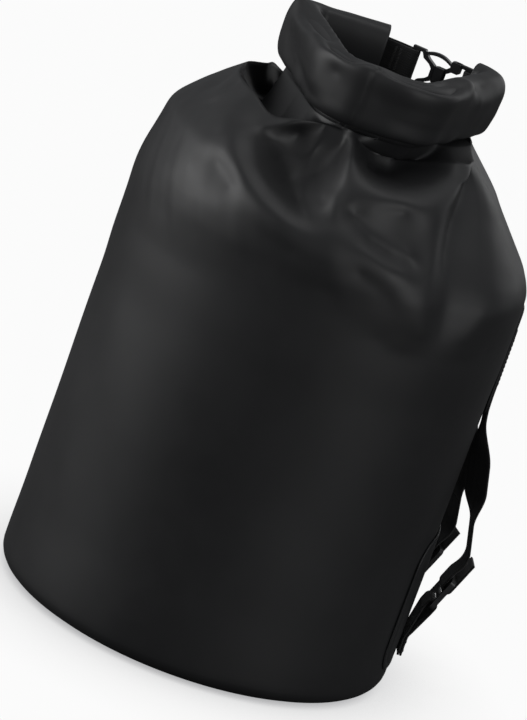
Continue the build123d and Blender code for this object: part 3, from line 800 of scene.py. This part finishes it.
def relax_sheet(columns=168, shoulder_count=34, neck_count=18, frames=20, max_move=6.0):
    """Cloth simulation of a coarse copy: the folds of the front keep their shape, the
    gathers at the back settle and fill out a little. Returns how far each point moved."""
    sheet, az_deg, along = designed_sheet(columns, shoulder_count, neck_count)
    rows = sheet.shape[0]
    ob = new_object("cloth_tmp", sheet.reshape(-1, 3), grid_faces(rows, columns, wrap=True))
    for label, field in cloth_weights(sheet, az_deg, shoulder_count).items():
        group = ob.vertex_groups.new(name=label)
        rounded = np.round(field.reshape(-1), 2)
        for level in np.unique(rounded):
            if level > 0:
                group.add(np.nonzero(rounded == level)[0].tolist(), float(level), "REPLACE")
    cloth = ob.modifiers.new("Cloth", "CLOTH")
    set_all(cloth.settings, quality=5, mass=0.25,
            tension_stiffness=15, compression_stiffness=15,
            shear_stiffness=9, bending_stiffness=0.7,
            tension_damping=10, compression_damping=10, shear_damping=10,
            bending_damping=2, air_damping=4,
            pin_stiffness=1.0, vertex_group_mass="pin",
            vertex_group_shrink="grow", shrink_min=0.0, shrink_max=-0.03,
            use_pressure=True, uniform_pressure_force=2.2, vertex_group_pressure="press")
    cloth.settings.effector_weights.gravity = 0.5
    set_all(cloth.collision_settings, use_collision=False, use_self_collision=False)
    set_all(cloth.point_cache, frame_start=1, frame_end=frames)
    scene = bpy.context.scene
    scene.frame_start, scene.frame_end = 1, frames
    for frame in range(1, frames + 1):
        scene.frame_set(frame)
    evaluated = ob.evaluated_get(bpy.context.evaluated_depsgraph_get())
    mesh = evaluated.to_mesh()
    settled = np.empty(len(mesh.vertices) * 3)
    mesh.vertices.foreach_get("co", settled)
    evaluated.to_mesh_clear()
    scene.frame_set(1)
    bpy.data.objects.remove(ob)
    moved = settled.reshape(rows, columns, 3) / MM - sheet
    length = np.linalg.norm(moved, axis=2, keepdims=True)
    moved *= np.minimum(1.0, max_move / np.maximum(length, 1e-6))
    return moved, along


def upsample(field, along, columns, along_fine):
    """Smooth interpolation of a coarse field on the sheet to the fine one."""
    coarse = field.shape[1]
    mid = np.zeros((len(along_fine), coarse, 3))
    for i in range(coarse):
        for c in range(3):
            mid[:, i, c] = np.interp(along_fine, along, field[:, i, c])
    x = np.arange(columns) / columns * coarse
    first = np.floor(x).astype(int)
    t = (x - first)[None, :, None]
    # a cubic through four neighbouring columns
    p0, p1, p2, p3 = [mid[:, (first + k) % coarse] for k in (-1, 0, 1, 2)]
    out = 0.5 * ((2 * p1) + (p2 - p0) * t + (2 * p0 - 5 * p1 + 4 * p2 - p3) * t ** 2
                 + (3 * p1 - p0 - 3 * p2 + p3) * t ** 3)
    smooth = out.copy()
    smooth[1:-1] = out[:-2] * 0.25 + out[1:-1] * 0.5 + out[2:] * 0.25
    smooth[-ROWS_IN_ROLL:] = 0
    return smooth


def keep_clear_of_roll(sheet):
    """Holds cloth that is not going up into the roll just under it."""
    points = sheet[:-ROWS_IN_ROLL].reshape(-1, 3)
    squared = ((points[:, None, :2] - RING[None, ::3, :]) ** 2).sum(-1).min(1)
    under = np.sqrt(squared) < ROLL_HALF + 1.0
    points[:, 2] = np.where(under, np.minimum(points[:, 2], 347.9), points[:, 2])
    sheet[:-ROWS_IN_ROLL] = points.reshape(sheet[:-ROWS_IN_ROLL].shape)


def tube_rows(az, from_front):
    """The hem under the base, the rounded edge and the wall up to the shoulder."""
    profile = [(109.0, 1.3), (115.0, 1.28), (119.0, 1.26)]      # radius, z of the hem
    for k in range(7):
        angle = math.radians(90.0 * k / 6)
        profile.append((BASE_R + EDGE_R * math.sin(angle),
                        CLOTH_Z + EDGE_R * (1 - math.cos(angle))))
    for z in np.linspace(CLOTH_Z + EDGE_R + 4, SHEET_Z0 - 4.2, 40):
        profile.append((BAG_R, float(z)))
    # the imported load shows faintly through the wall; calm near the base, patches and shoulder
    calm = 1 - np.exp(-((np.degrees(from_front) - 105) / 42.0) ** 2)
    rows = []
    for radius, z in profile:
        level = np.full(len(az), z)
        depth = 0.75 * float(smoothstep(14, 60, z)) * float(1 - smoothstep(200, 232, z))
        bulge = depth * calm * wobble(radius * np.cos(az), radius * np.sin(az), level)
        bulge = bulge - depth * 0.9
        rows.append(np.stack([(radius + bulge) * np.cos(az), (radius + bulge) * np.sin(az),
                              level], 1))
    return np.array(rows)


def build_bag_cloth(columns=360):
    az, from_front = sheet_columns(columns)
    sheet, _, along = designed_sheet(columns, 70, 36)
    moved, coarse_along = relax_sheet()
    sheet = sheet + upsample(moved, coarse_along, columns, along)
    keep_clear_of_roll(sheet)
    verts = np.concatenate([tube_rows(az, from_front), sheet], 0)
    steps = np.linalg.norm(np.diff(verts, axis=0), axis=2).mean(1)
    uv = np.zeros(verts.shape[:2] + (2,))
    uv[:, :, 0] = (from_front * BAG_R)[None] * MM
    uv[:, :, 1] = np.r_[0, np.cumsum(steps)][:, None] * MM
    ob = new_object("bag_cloth", verts.reshape(-1, 3), grid_faces(len(verts), columns, wrap=True),
                    uv.reshape(-1, 2))
    add_thickness(ob, 0.9)
    bake(ob)
    paint(ob, FABRIC)
    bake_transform(ob)
    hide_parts("body_tube")


build_bag_cloth()

# ------------------------------------------------------------------ base disc
# radius, z: over the top from the middle, round the rim and back underneath past a groove
DISC_PROFILE = [
    (0.01, 1.15), (20, 1.15), (45, 1.15), (70, 1.15), (92, 1.15), (104, 1.2), (110, 1.22),
    (116, 1.22), (119.5, 1.2), (120.7, 1.0), (121.0, 0.6), (120.7, 0.25), (119.6, 0.05),
    (116, 0.0), (112.5, 0.0), (111.6, 0.22), (110.4, 0.22), (109.5, 0.0), (100, 0.0),
    (80, 0.02), (55, 0.05), (30, 0.05), (10, 0.05), (0.01, 0.05)]


def build_base_disc(segments=144):
    angles = np.arange(segments) / segments * 2 * math.pi
    verts = np.array([[(radius * math.cos(angle), radius * math.sin(angle), z)
                       for angle in angles] for radius, z in DISC_PROFILE])
    uv = verts[:, :, :2] * MM
    ob = new_object("base_disc", verts.reshape(-1, 3),
                    grid_faces(len(DISC_PROFILE), segments, wrap=True), uv.reshape(-1, 2))
    face_outwards(ob, merge=0.02)
    paint(ob, FABRIC)
    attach(ob, "bag")
    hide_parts("base_panel")


build_base_disc()

# ------------------------------------------------------------------ the rolled closure
# Creases on the roll: (place along the ring mm, angle round the section deg, depth).
# The angle is 0 on the inner side, 90 on top, 180 on the outer side.
ROLL_FOLDS = [
    [(58, 112, -0.5), (65, 112, -2.6), (72, 118, -0.8)],
    [(46, 105, 0.6), (40, 95, 1.4), (20, 95, 0.6)],
    [(62, 150, -0.6), (64, 185, -0.4), (66, 215, -0.2)],
    [(80, 150, -0.8), (92, 152, -1.8), (112, 150, -2.2), (136, 130, -2.0), (158, 128, -1.2),
     (172, 132, -2.0), (183, 140, -1.6), (190, 122, -1.4), (198, 112, -0.6)],
    [(84, 118, 1.0), (98, 112, 3.0), (120, 104, 3.4), (141, 96, 2.4)],
    [(152, 108, 1.6), (165, 104, 3.0), (180, 112, 2.4)],
    [(84, 180, 1.2), (104, 186, 2.8), (128, 192, 2.6), (152, 206, 2.0), (172, 214, 1.0)],
    [(122, 163, -1.2), (146, 170, -1.6), (166, 178, -1.0)],
    [(176, 160, 1.0), (182, 185, 1.2), (186, 205, 0.6)],
    [(204, 112, 0.6), (214, 110, 2.4), (232, 112, 4.4), (250, 110, 4.0), (262, 104, 1.6)],
    [(206, 128, -0.8), (218, 136, -1.8), (232, 143, -2.2), (250, 142, -2.2),
     (266, 138, -1.8), (272, 118, -1.8), (274, 95, -1.2)],
    [(203, 172, 1.4), (213, 186, 2.0), (232, 192, 1.8), (256, 190, 1.6), (276, 192, 0.8)],
    [(218, 162, -0.8), (240, 166, -1.2), (262, 164, -0.8)],
    [(284, 128, 1.6), (296, 118, 2.0), (306, 104, 1.0)],
    [(290, 165, -1.0), (308, 170, -1.2), (328, 160, -0.6)],
    [(286, 200, 0.8), (312, 205, 1.2), (336, 200, 0.6)],
    [(30, 180, 0.8), (45, 170, 1.0)],
    [(15, 130, 0.6), (28, 140, -0.6)],
]
FOLD_GAIN = 1.5                       # mm of depth for each unit in the table
MM_PER_DEG = 0.345                    # round the section, for measuring distances
ROLL_ZC, ROLL_HALF_Z = (ROLL_Z0 + ROLL_Z1) / 2, (ROLL_Z1 - ROLL_Z0) / 2
ROLL_INSET = 0.35                     # the skin lies this far inside the roll's outer size
TURNS, LAYER = 2.7, 3.0               # turns of the spiral, mm between them
PER_TURN = 72


def roll_depth(stations, angles_deg):
    """How far the skin is pushed in (mm), for every ring position and section angle."""
    points, depths = [], []
    for line in ROLL_FOLDS:
        run, angle, depth = np.array(line, float).T
        flat, depth = resample(np.stack([run, angle * MM_PER_DEG], 1), depth, 3.0)
        points.append(flat)
        depths.append(depth * FOLD_GAIN)
    still = [(x, angle * MM_PER_DEG) for x in np.arange(0, RING_LEN + 1, 12)
             for angle in (20, 60, 240, 270, 300)]
    still += [(x, angle * MM_PER_DEG) for x in (-4, RING_LEN + 4)
              for angle in (90, 120, 150, 180, 210)]
    points.append(np.array(still, float))
    depths.append(np.zeros(len(still)))
    run, angle = np.meshgrid(stations, angles_deg, indexing="ij")
    where = np.stack([run.ravel(), angle.ravel() * MM_PER_DEG], 1)
    depth = rbf(np.concatenate(points), np.concatenate(depths), where, smooth=0.12, soft=0.9)
    folded = smoothstep(-10, 25, angle) * (1 - smoothstep(255, 290, angle))
    depth = depth.reshape(run.shape) * folded
    # the side seam of the tube, welded with an overlap
    face = smoothstep(92, 104, angle) * (1 - smoothstep(238, 250, angle))
    seam = run - (195.5 - 1.6 * (angle - 109) / 60.0)
    depth += face * (1.1 * np.exp(-(seam / 0.8) ** 2) - 0.55 * np.exp(-(seam + 5.5) ** 2 / 22.0))
    # small unevenness of the cloth itself
    depth += 0.30 * folded * (wobble(run * 2.3, angle * 0.8, angle * 0.5, 3.0)
                              + 0.5 * wobble(run * 5.5, angle * 1.7, angle * 1.1, 7.0))
    # slack along the lower edge
    low = smoothstep(190, 220, angle) * (1 - smoothstep(262, 285, angle))
    depth += (low * 0.9 * np.sin(run / 8.1 + 1.7 * np.sin(run / 21.0))
              * np.sin(run / 27.0 + 0.6))
    return depth


def signed_power(x, power):
    return np.sign(x) * np.abs(x) ** power


def build_roll():
    """A spiral of cloth, from the neck round the outside and in, swept along the ring."""
    stations = np.linspace(0, RING_LEN, 260)
    turn = np.arange(int(PER_TURN * TURNS) + 1) / PER_TURN
    angle = np.radians(-38.0) + turn * 2 * math.pi
    cosine, sine = np.cos(angle), np.sin(angle)
    shrink = LAYER * np.clip(turn - 0.12, 0, None)
    # each turn is a superellipse
    across = (ROLL_HALF - ROLL_INSET - shrink) * signed_power(cosine, 2 / 2.9)
    height = (ROLL_HALF_Z - ROLL_INSET - shrink) * signed_power(sine, 2 / 2.9)
    first = np.degrees(angle) < 330
    depth = np.zeros((len(stations), len(turn)))
    depth[:, first] = roll_depth(stations, np.degrees(angle[first]))
    depth *= np.clip(1.15 - turn, 0, 1) ** 0.5          # the folds fade after the first turn
    verts = np.zeros(depth.shape + (3,))
    verts[:, :, :2] = ring_at(stations[:, None], across - depth * signed_power(cosine, 0.8))
    verts[:, :, 2] = ROLL_ZC + (height - depth * signed_power(sine, 0.8))
    uv = np.zeros(depth.shape + (2,))
    uv[:, :, 0] = stations[:, None] * MM
    uv[:, :, 1] = distances(np.stack([across, height], 1))[None] * MM
    ob = new_object("roll_cloth", verts.reshape(-1, 3), grid_faces(*depth.shape),
                    uv.reshape(-1, 2))
    add_thickness(ob, 1.5)
    face_outwards(ob)
    bake(ob)
    paint(ob, FABRIC_ROLL)
    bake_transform(ob)
    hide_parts("roll_left", "roll_right")


build_roll()

# ------------------------------------------------------------------ closure webbing
LOOP = 3.0                                # half the distance between the two layers
LOOP_R = LOOP - 0.02
PLUG_TURN = -19.6 + LOOP + 0.05           # where the webbing turns back, along the buckle
SOCKET_TURN = 19.2 - LOOP - 0.05


def flat_web(name, corners, radii):
    """Webbing standing on edge: its centre line in plan, its width upright."""
    plan = fillet_path(corners, radii, 0.7)
    along = tangents(plan)
    centre = np.concatenate([plan, np.full((len(plan), 1), BUCKLE_Z)], 1)
    side = np.repeat([[0, 0, 1.0]], len(plan), 0)
    normal = np.stack([-along[:, 1], along[:, 0], 0 * along[:, 0]], 1)
    return paint(sweep(name, centre, side, normal, web_section(WEB_W, WEB_T)), WEBBING)


def build_closure_webbing():
    plug = flat_web(
        "webbing_plug_side",
        [(-42.0, LEFT_END[1] - 8.2), on_buckle(-43.0, 3.2), on_buckle(-29.0, LOOP),
         on_buckle(PLUG_TURN, LOOP), on_buckle(PLUG_TURN, -LOOP),
         on_buckle(-29.0, -LOOP), on_buckle(-43.0, -1.7), (-24.0, LEFT_END[1] + 0.9)],
        [5.0, 5.0, LOOP_R, LOOP_R, 5.0, 5.0])
    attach(plug, "left_closure")
    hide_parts("closure_webbing_left")
    socket = flat_web(
        "webbing_socket_side",
        [on_buckle(29.5, 1.9), on_buckle(25.0, LOOP), on_buckle(SOCKET_TURN, LOOP),
         on_buckle(SOCKET_TURN, -LOOP), on_buckle(25.0, -LOOP), on_buckle(29.5, -1.9)],
        [5.0, LOOP_R, LOOP_R, 5.0])
    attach(socket, "bag")
    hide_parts("closure_webbing_right")


def build_bar_tacks():
    """Bar tacks where the plug's webbing is sewn to itself."""
    tacks = Stitching()
    for face in (1, -1):
        forward = face * (LOOP + WEB_T / 2 + 0.02)
        up = (TO_HINGE[0] * face, TO_HINGE[1] * face, 0)
        for along in (-27.5, -31.0):
            start, end = on_buckle(along - 0.9, forward), on_buckle(along + 0.9, forward)
            for k in range(15):
                z = BUCKLE_Z - 7.0 + k
                tacks.add((*start, z - 0.25), (*end, z + 0.25), up, radius=0.3, sink=0.05)
    ob = tacks.build("bartack_plug_side")
    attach(ob, "left_closure")
    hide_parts("closure_bartack_left")


build_closure_webbing()
build_bar_tacks()

# ------------------------------------------------------------------ harness
# A strap's side view is in (out from the wall, up along the strap), from mid-height.
STRAP_Z = 140.0
STRAP_LIFT, LOOP_LIFT = 2.15, 3.9         # centre of the webbing above the wall
HUG_R = BAG_R + 1.0                       # radius that webbing lying on the wall bends to
STRAP_TOP, STRAP_LEAVE = (STRAP_LIFT, 108.0), (STRAP_LIFT, 50.0)
STRAP_BOW, STRAP_FOOT = (25.0, -45.0), (3.1, -98.0)
DOWN = unit(STRAP_FOOT[0] - STRAP_BOW[0], STRAP_FOOT[1] - STRAP_BOW[1])
OUT = (-DOWN[1], DOWN[0])
ADJUSTER = (STRAP_BOW[0] + DOWN[0] * 26, STRAP_BOW[1] + DOWN[1] * 26)
STRAND = 3.15                             # half the distance between the two layers
STRAP_BAR, ANCHOR_BAR = 4.8, -10.35       # where each webbing turns, up from the adjuster


def at_adjuster(up, out):
    return ADJUSTER[0] - DOWN[0] * up + OUT[0] * out, ADJUSTER[1] - DOWN[1] * up + OUT[1] * out


class StrapFrame:
    """Axes of one strap: out from the wall, up along the strap and across it."""

    def __init__(self, az_deg, tilt_deg):
        az, tilt = math.radians(az_deg), math.radians(tilt_deg)
        self.out = np.array((math.cos(az), math.sin(az), 0.0))
        around = np.array((-math.sin(az), math.cos(az), 0.0))
        self.up = around * math.sin(tilt) + np.array((0, 0, 1.0)) * math.cos(tilt)
        self.across = np.cross(self.out, self.up)
        self.origin = self.out * BAG_R + np.array((0, 0, STRAP_Z))

    def world(self, out, up, across=0.0):
        out, up, across = [np.asarray(v, float)[..., None] for v in (out, up, across)]
        return self.origin + self.out * out + self.up * up + self.across * across

    def metres(self, out, up):
        return tuple(float(c) * MM for c in self.world(out, up))


def strap_web(name, frame, path, hug=None, twist_deg=None, start=0.0):
    """Webbing along a side-view path. Per point, hug (0-1) bends its width to the wall and
    twist_deg turns it about its length."""
    along = tangents(path)
    normal = frame.out[None] * along[:, 1:2] - frame.up[None] * along[:, 0:1]
    side = np.repeat(frame.across[None], len(path), 0)
    if twist_deg is not None:
        turn = np.radians(twist_deg)[:, None]
        side, normal = (side * np.cos(turn) - normal * np.sin(turn),
                        normal * np.cos(turn) + side * np.sin(turn))
    section = np.repeat(web_section(STRAP_W, STRAP_T)[None], len(path), 0)
    if hug is not None:
        facing = np.sign(normal @ frame.out)
        facing = np.where(facing == 0, 1, facing)
        section[:, :, 1] -= (hug * facing)[:, None] * (section[:, :, 0] ** 2) / (2 * HUG_R)
    centre = frame.world(path[:, 0], path[:, 1])
    return paint(sweep(name, centre, side, normal, section, start), WEBBING)


def build_strap(side, frame, hang_deg):
    """Shoulder strap, its tail through the adjuster and the anchor loop below."""
    full = fillet_path(
        [STRAP_TOP, STRAP_LEAVE, (STRAP_BOW[0] - 0.8, STRAP_BOW[1]), at_adjuster(14, -STRAND),
         at_adjuster(STRAP_BAR - STRAND, -STRAND), at_adjuster(STRAP_BAR - STRAND, STRAND),
         at_adjuster(27, STRAND)], [60, 16, 8, 3.1, 3.1], 1.2)
    cut = int(np.argmax(full[:, 1] < -22))
    path = full[:cut + 1]
    height = path[:, 1]
    hang = hang_deg * (1 - smoothstep(16, 46, height)) * smoothstep(-21, 0, height)
    upper = strap_web("strap_" + side, frame, path, hug=smoothstep(44, 66, height),
                      twist_deg=hang)
    frame.metres(STRAP_LIFT, 66)
    frame.metres(9, 30)
    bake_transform(upper)
    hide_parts("shoulder_strap_" + side)

    tail = strap_web("strap_tail_" + side, frame, full[cut:], start=float(distances(path)[-1]))
    frame.metres(*at_adjuster(22, 0))
    frame.metres(*at_adjuster(9, 0))
    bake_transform(tail)

    path = fillet_path(
        [(STRAP_LIFT, -116), (STRAP_LIFT, -103), at_adjuster(ANCHOR_BAR - 4.5, -STRAND),
         at_adjuster(ANCHOR_BAR + STRAND, -STRAND), at_adjuster(ANCHOR_BAR + STRAND, STRAND),
         at_adjuster(ANCHOR_BAR - 4.5, STRAND), (LOOP_LIFT, -102), (LOOP_LIFT, -116)],
        [5, 4, 3.1, 3.1, 4, 5], 0.9)
    anchor = strap_web("anchor_loop_" + side, frame, path,
                       hug=1 - smoothstep(-106, -99, path[:, 1]))
    frame.metres(3, -104)
    frame.metres(*at_adjuster(ANCHOR_BAR - 1.5, 0))
    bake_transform(anchor)
    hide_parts("lower_loop_" + side)


def on_web(frame, lift, up, across):
    """A point just above webbing that lies on the wall."""
    return frame.world(lift + STRAP_T / 2 + 0.05 - across * across / (2 * HUG_R), up, across)


def build_strap_stitches(frames):
    """A crossed box at the top of each strap and two bar tacks at its foot."""
    upper = Stitching()
    half, low, high = 9.0, 70.0, 102.0
    corners = [(low, -half), (high, -half), (high, half), (low, half)]
    share = np.linspace(0, 1, 9)
    for frame in frames:
        for i, j in ((0, 1), (1, 2), (2, 3), (3, 0), (0, 2), (3, 1)):
            up, across = [a + (b - a) * share for a, b in zip(corners[i], corners[j])]
            upper.add_line(on_web(frame, STRAP_LIFT, up, across), frame.out, pitch=2.9, gap=0.5)
    ob = upper.build("strap_stitching_top")
    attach(ob, "bag")
    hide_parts("strap_stitching_upper")

    lower = Stitching()
    for frame in frames:
        for up in (-107.0, -113.0):
            for k in range(24):
                across = -9.6 + 0.835 * k
                middle = on_web(frame, LOOP_LIFT, up, across)
                reach = frame.up * 1.2 + frame.across * 0.2
                lower.add(middle - reach, middle + reach, frame.out, radius=0.33, sink=0.05)
    ob = lower.build("strap_stitching_base")
    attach(ob, "bag")
    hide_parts("strap_stitching_lower")


NEAR = StrapFrame(az_deg=4.5, tilt_deg=4.8)
FAR = StrapFrame(az_deg=25.5, tilt_deg=-4.8)
build_strap("near", NEAR, hang_deg=30.0)
build_strap("far", FAR, hang_deg=20.0)
build_strap_stitches([NEAR, FAR])


# ------------------------------------------------------------------ reinforcement patches
PATCH_T = 1.1


def rounded_outline(half_x, half_y, radius, arc_steps=16, step=3.0):
    """Anticlockwise outline of a rounded rectangle, its straight sides divided too."""
    points = []
    for sign_x, sign_y, first in ((1, 1, 0), (-1, 1, 90), (-1, -1, 180), (1, -1, 270)):
        x, y = sign_x * (half_x - radius), sign_y * (half_y - radius)
        for k in range(arc_steps + 1):
            angle = math.radians(first + 90.0 * k / arc_steps)
            points.append((x + radius * math.cos(angle), y + radius * math.sin(angle)))
    out = []
    for a, b in zip(points, points[1:] + points[:1]):
        dx, dy = b[0] - a[0], b[1] - a[1]
        count = max(1, int(round(math.hypot(dx, dy) / step)))
        out += [(a[0] + dx * i / count, a[1] + dy * i / count) for i in range(count)]
    return out


def inset_point(x, y, half_x, half_y, radius, inset):
    """Moves an outline point in; corners shrink about their centres to keep the border even."""
    if abs(x) > half_x - radius and abs(y) > half_y - radius and inset < radius:
        centre_x, centre_y = math.copysign(half_x - radius, x), math.copysign(half_y - radius, y)
        share = (radius - inset) / radius
        return centre_x + (x - centre_x) * share, centre_y + (y - centre_y) * share
    limit_x, limit_y = half_x - inset, half_y - inset
    return max(-limit_x, min(limit_x, x)), max(-limit_y, min(limit_y, y))


def build_patch(name, node, width, height, radius, az_deg, z):
    """A rounded patch bent round the wall, with a shallow groove inside its border."""
    # inset from the edge, height off the wall
    profile = [(0.0, -0.25), (0.0, PATCH_T * 0.55), (0.25, PATCH_T * 0.85), (0.8, PATCH_T),
               (3.2, PATCH_T), (3.9, PATCH_T - 0.32), (5.1, PATCH_T - 0.32), (5.8, PATCH_T),
               (9, PATCH_T + 0.05)]
    limit = min(width, height) / 2 - 1.5
    profile += [(inset, PATCH_T + 0.08) for inset in (*np.arange(15.0, limit, 6.0), limit)]
    outline = rounded_outline(width / 2, height / 2, radius)
    count = len(outline)
    centre = math.radians(az_deg)
    verts, uv = [], []
    for inset, lift in profile:
        wall = BAG_R + 0.02 + lift
        for point in outline:
            x, y = inset_point(*point, width / 2, height / 2, radius, inset)
            angle = centre + x / BAG_R
            verts.append((wall * math.cos(angle), wall * math.sin(angle), z + y))
            uv.append((x * MM, y * MM))
    faces = grid_faces(len(profile), count, wrap=True)
    faces.append(tuple((len(profile) - 1) * count + i for i in range(count)))
    faces.append(tuple(range(count - 1, -1, -1)))
    ob = new_object(name, np.array(verts), faces, np.array(uv))
    face_outwards(ob, merge=0.03)
    paint(ob, FABRIC)
    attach(ob, "bag")
    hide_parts(node)


build_patch("patch_top", "strap_patch_upper",
            width=78.0, height=74.0, radius=12.0, az_deg=15.0, z=228.0)
build_patch("patch_base", "strap_patch_lower",
            width=146.0, height=92.0, radius=18.0, az_deg=14.0, z=64.0)

# ------------------------------------------------------------------ parts that keep their CAD shape
for part in ("buckle_plug", "release_arm_upper", "release_arm_lower", "buckle_socket",
             "adjuster_near", "adjuster_far"):
    paint(NODES[part], PLASTIC)
for part in ("stiffener_left", "stiffener_right"):
    paint(NODES[part], STIFF)


# ------------------------------------------------------------------ studio (metres)
def area_light(name, place, aim, size, watts):
    """A rectangular light, unseen by the camera."""
    data = bpy.data.lights.new(name, "AREA")
    set_all(data, shape="RECTANGLE", size=size[0], size_y=size[1], energy=watts)
    ob = bpy.data.objects.new(name, data)
    bpy.context.scene.collection.objects.link(ob)
    ob.location = place
    ob.rotation_euler = (Vector(aim) - Vector(place)).to_track_quat("-Z", "Y").to_euler()
    ob.visible_camera = False


def floor_material():
    """A grey floor that the camera sees as pale paper with a soft contact shadow."""
    sh = Shader("floor_pale")
    mottle = sh.noise(sh.coords("Object"), scale=3.0)
    sh.set("Base Color", sh.ramp(mottle, (0.0, (0.10,) * 3), (1.0, (0.12,) * 3)))
    sh.set("Roughness", 0.9)
    sh.set("Specular IOR Level", 0.1)
    occlusion = sh.add("AmbientOcclusion", samples=8)
    occlusion.inputs["Distance"].default_value = 0.09
    paper = sh.add("Emission")
    sh.feed(paper.inputs[0], sh.ramp(occlusion.outputs["AO"], (0.0, (0.42, 0.42, 0.43)),
                                     (0.75, (0.90,) * 3), (1.0, (0.965,) * 3)))
    ray = sh.add("LightPath")
    pick = sh.add("MixShader")
    sh.feed(pick.inputs[0], ray.outputs["Is Camera Ray"])
    sh.feed(pick.inputs[1], sh.surface.outputs[0])
    sh.feed(pick.inputs[2], paper.outputs[0])
    sh.feed(sh.output.inputs[0], pick.outputs[0])
    return sh.material


def build_floor(half=9, z=-0.0006):
    mesh = bpy.data.meshes.new("floor")
    corners = [(-half, -half, 0), (half, -half, 0), (half, half, 0), (-half, half, 0)]
    mesh.from_pydata(corners, [], [(0, 1, 2, 3)])
    floor = bpy.data.objects.new("floor", mesh)
    bpy.context.scene.collection.objects.link(floor)
    floor.location.z = z
    floor.data.materials.append(floor_material())


def build_world():
    """White to the camera, a dim cool grey to everything else."""
    world = bpy.data.worlds.new("studio")
    bpy.context.scene.world = world
    world.use_nodes = True
    nodes, links = world.node_tree.nodes, world.node_tree.links
    nodes.clear()
    output = nodes.new("ShaderNodeOutputWorld")
    seen, lighting = [nodes.new("ShaderNodeBackground") for _ in range(2)]
    for node, colour, strength in ((seen, (1, 1, 1, 1), 1.0),
                                   (lighting, (0.9, 0.92, 0.95, 1), 0.19)):
        node.inputs[0].default_value = colour
        node.inputs[1].default_value = strength
    ray = nodes.new("ShaderNodeLightPath")
    pick = nodes.new("ShaderNodeMixShader")
    links.new(ray.outputs["Is Camera Ray"], pick.inputs[0])
    links.new(lighting.outputs[0], pick.inputs[1])
    links.new(seen.outputs[0], pick.inputs[2])
    links.new(pick.outputs[0], output.inputs[0])


def build_camera():
    """A long lens in front of the bag, raised and rolled about its line of sight."""
    elevation, roll, distance = math.radians(16.0), math.radians(20.0), 2.8
    shift_right, shift_up = 0.01924724, 0.01766960      # how far the bag sits off centre
    data = bpy.data.cameras.new("camera")
    camera = bpy.data.objects.new("camera", data)
    bpy.context.scene.collection.objects.link(camera)
    set_all(data, sensor_width=36.0, lens=221.9, clip_end=60)
    back = Vector((0, -math.cos(elevation), math.sin(elevation)))
    turn = (-back).to_track_quat("-Z", "Y").to_matrix() @ Matrix.Rotation(roll, 3, "Z")
    right, up = turn @ Vector((1, 0, 0)), turn @ Vector((0, 1, 0))
    aim = Vector((0, 0, 0.2)) - (right * shift_right + up * shift_up)
    camera.matrix_world = Matrix.Translation(aim + back * distance) @ turn.to_4x4()
    bpy.context.scene.camera = camera


area_light("softbox_left", place=(-1.75, -0.25, 0.65), aim=(0, 0, 0.2), size=(1.7, 1.7), watts=27)
area_light("softbox_right", place=(1.35, -1.35, 0.75), aim=(0, 0, 0.2), size=(1.2, 1.7), watts=11)
area_light("top", place=(0.1, 0.2, 1.9), aim=(0, 0, 0.3), size=(1.3, 0.9), watts=4.5)
area_light("back", place=(0.9, 1.5, 0.9), aim=(0, 0, 0.25), size=(1.2, 1.2), watts=3)
build_floor()
build_world()
bpy.context.scene.view_settings.view_transform = "Standard"
build_camera()
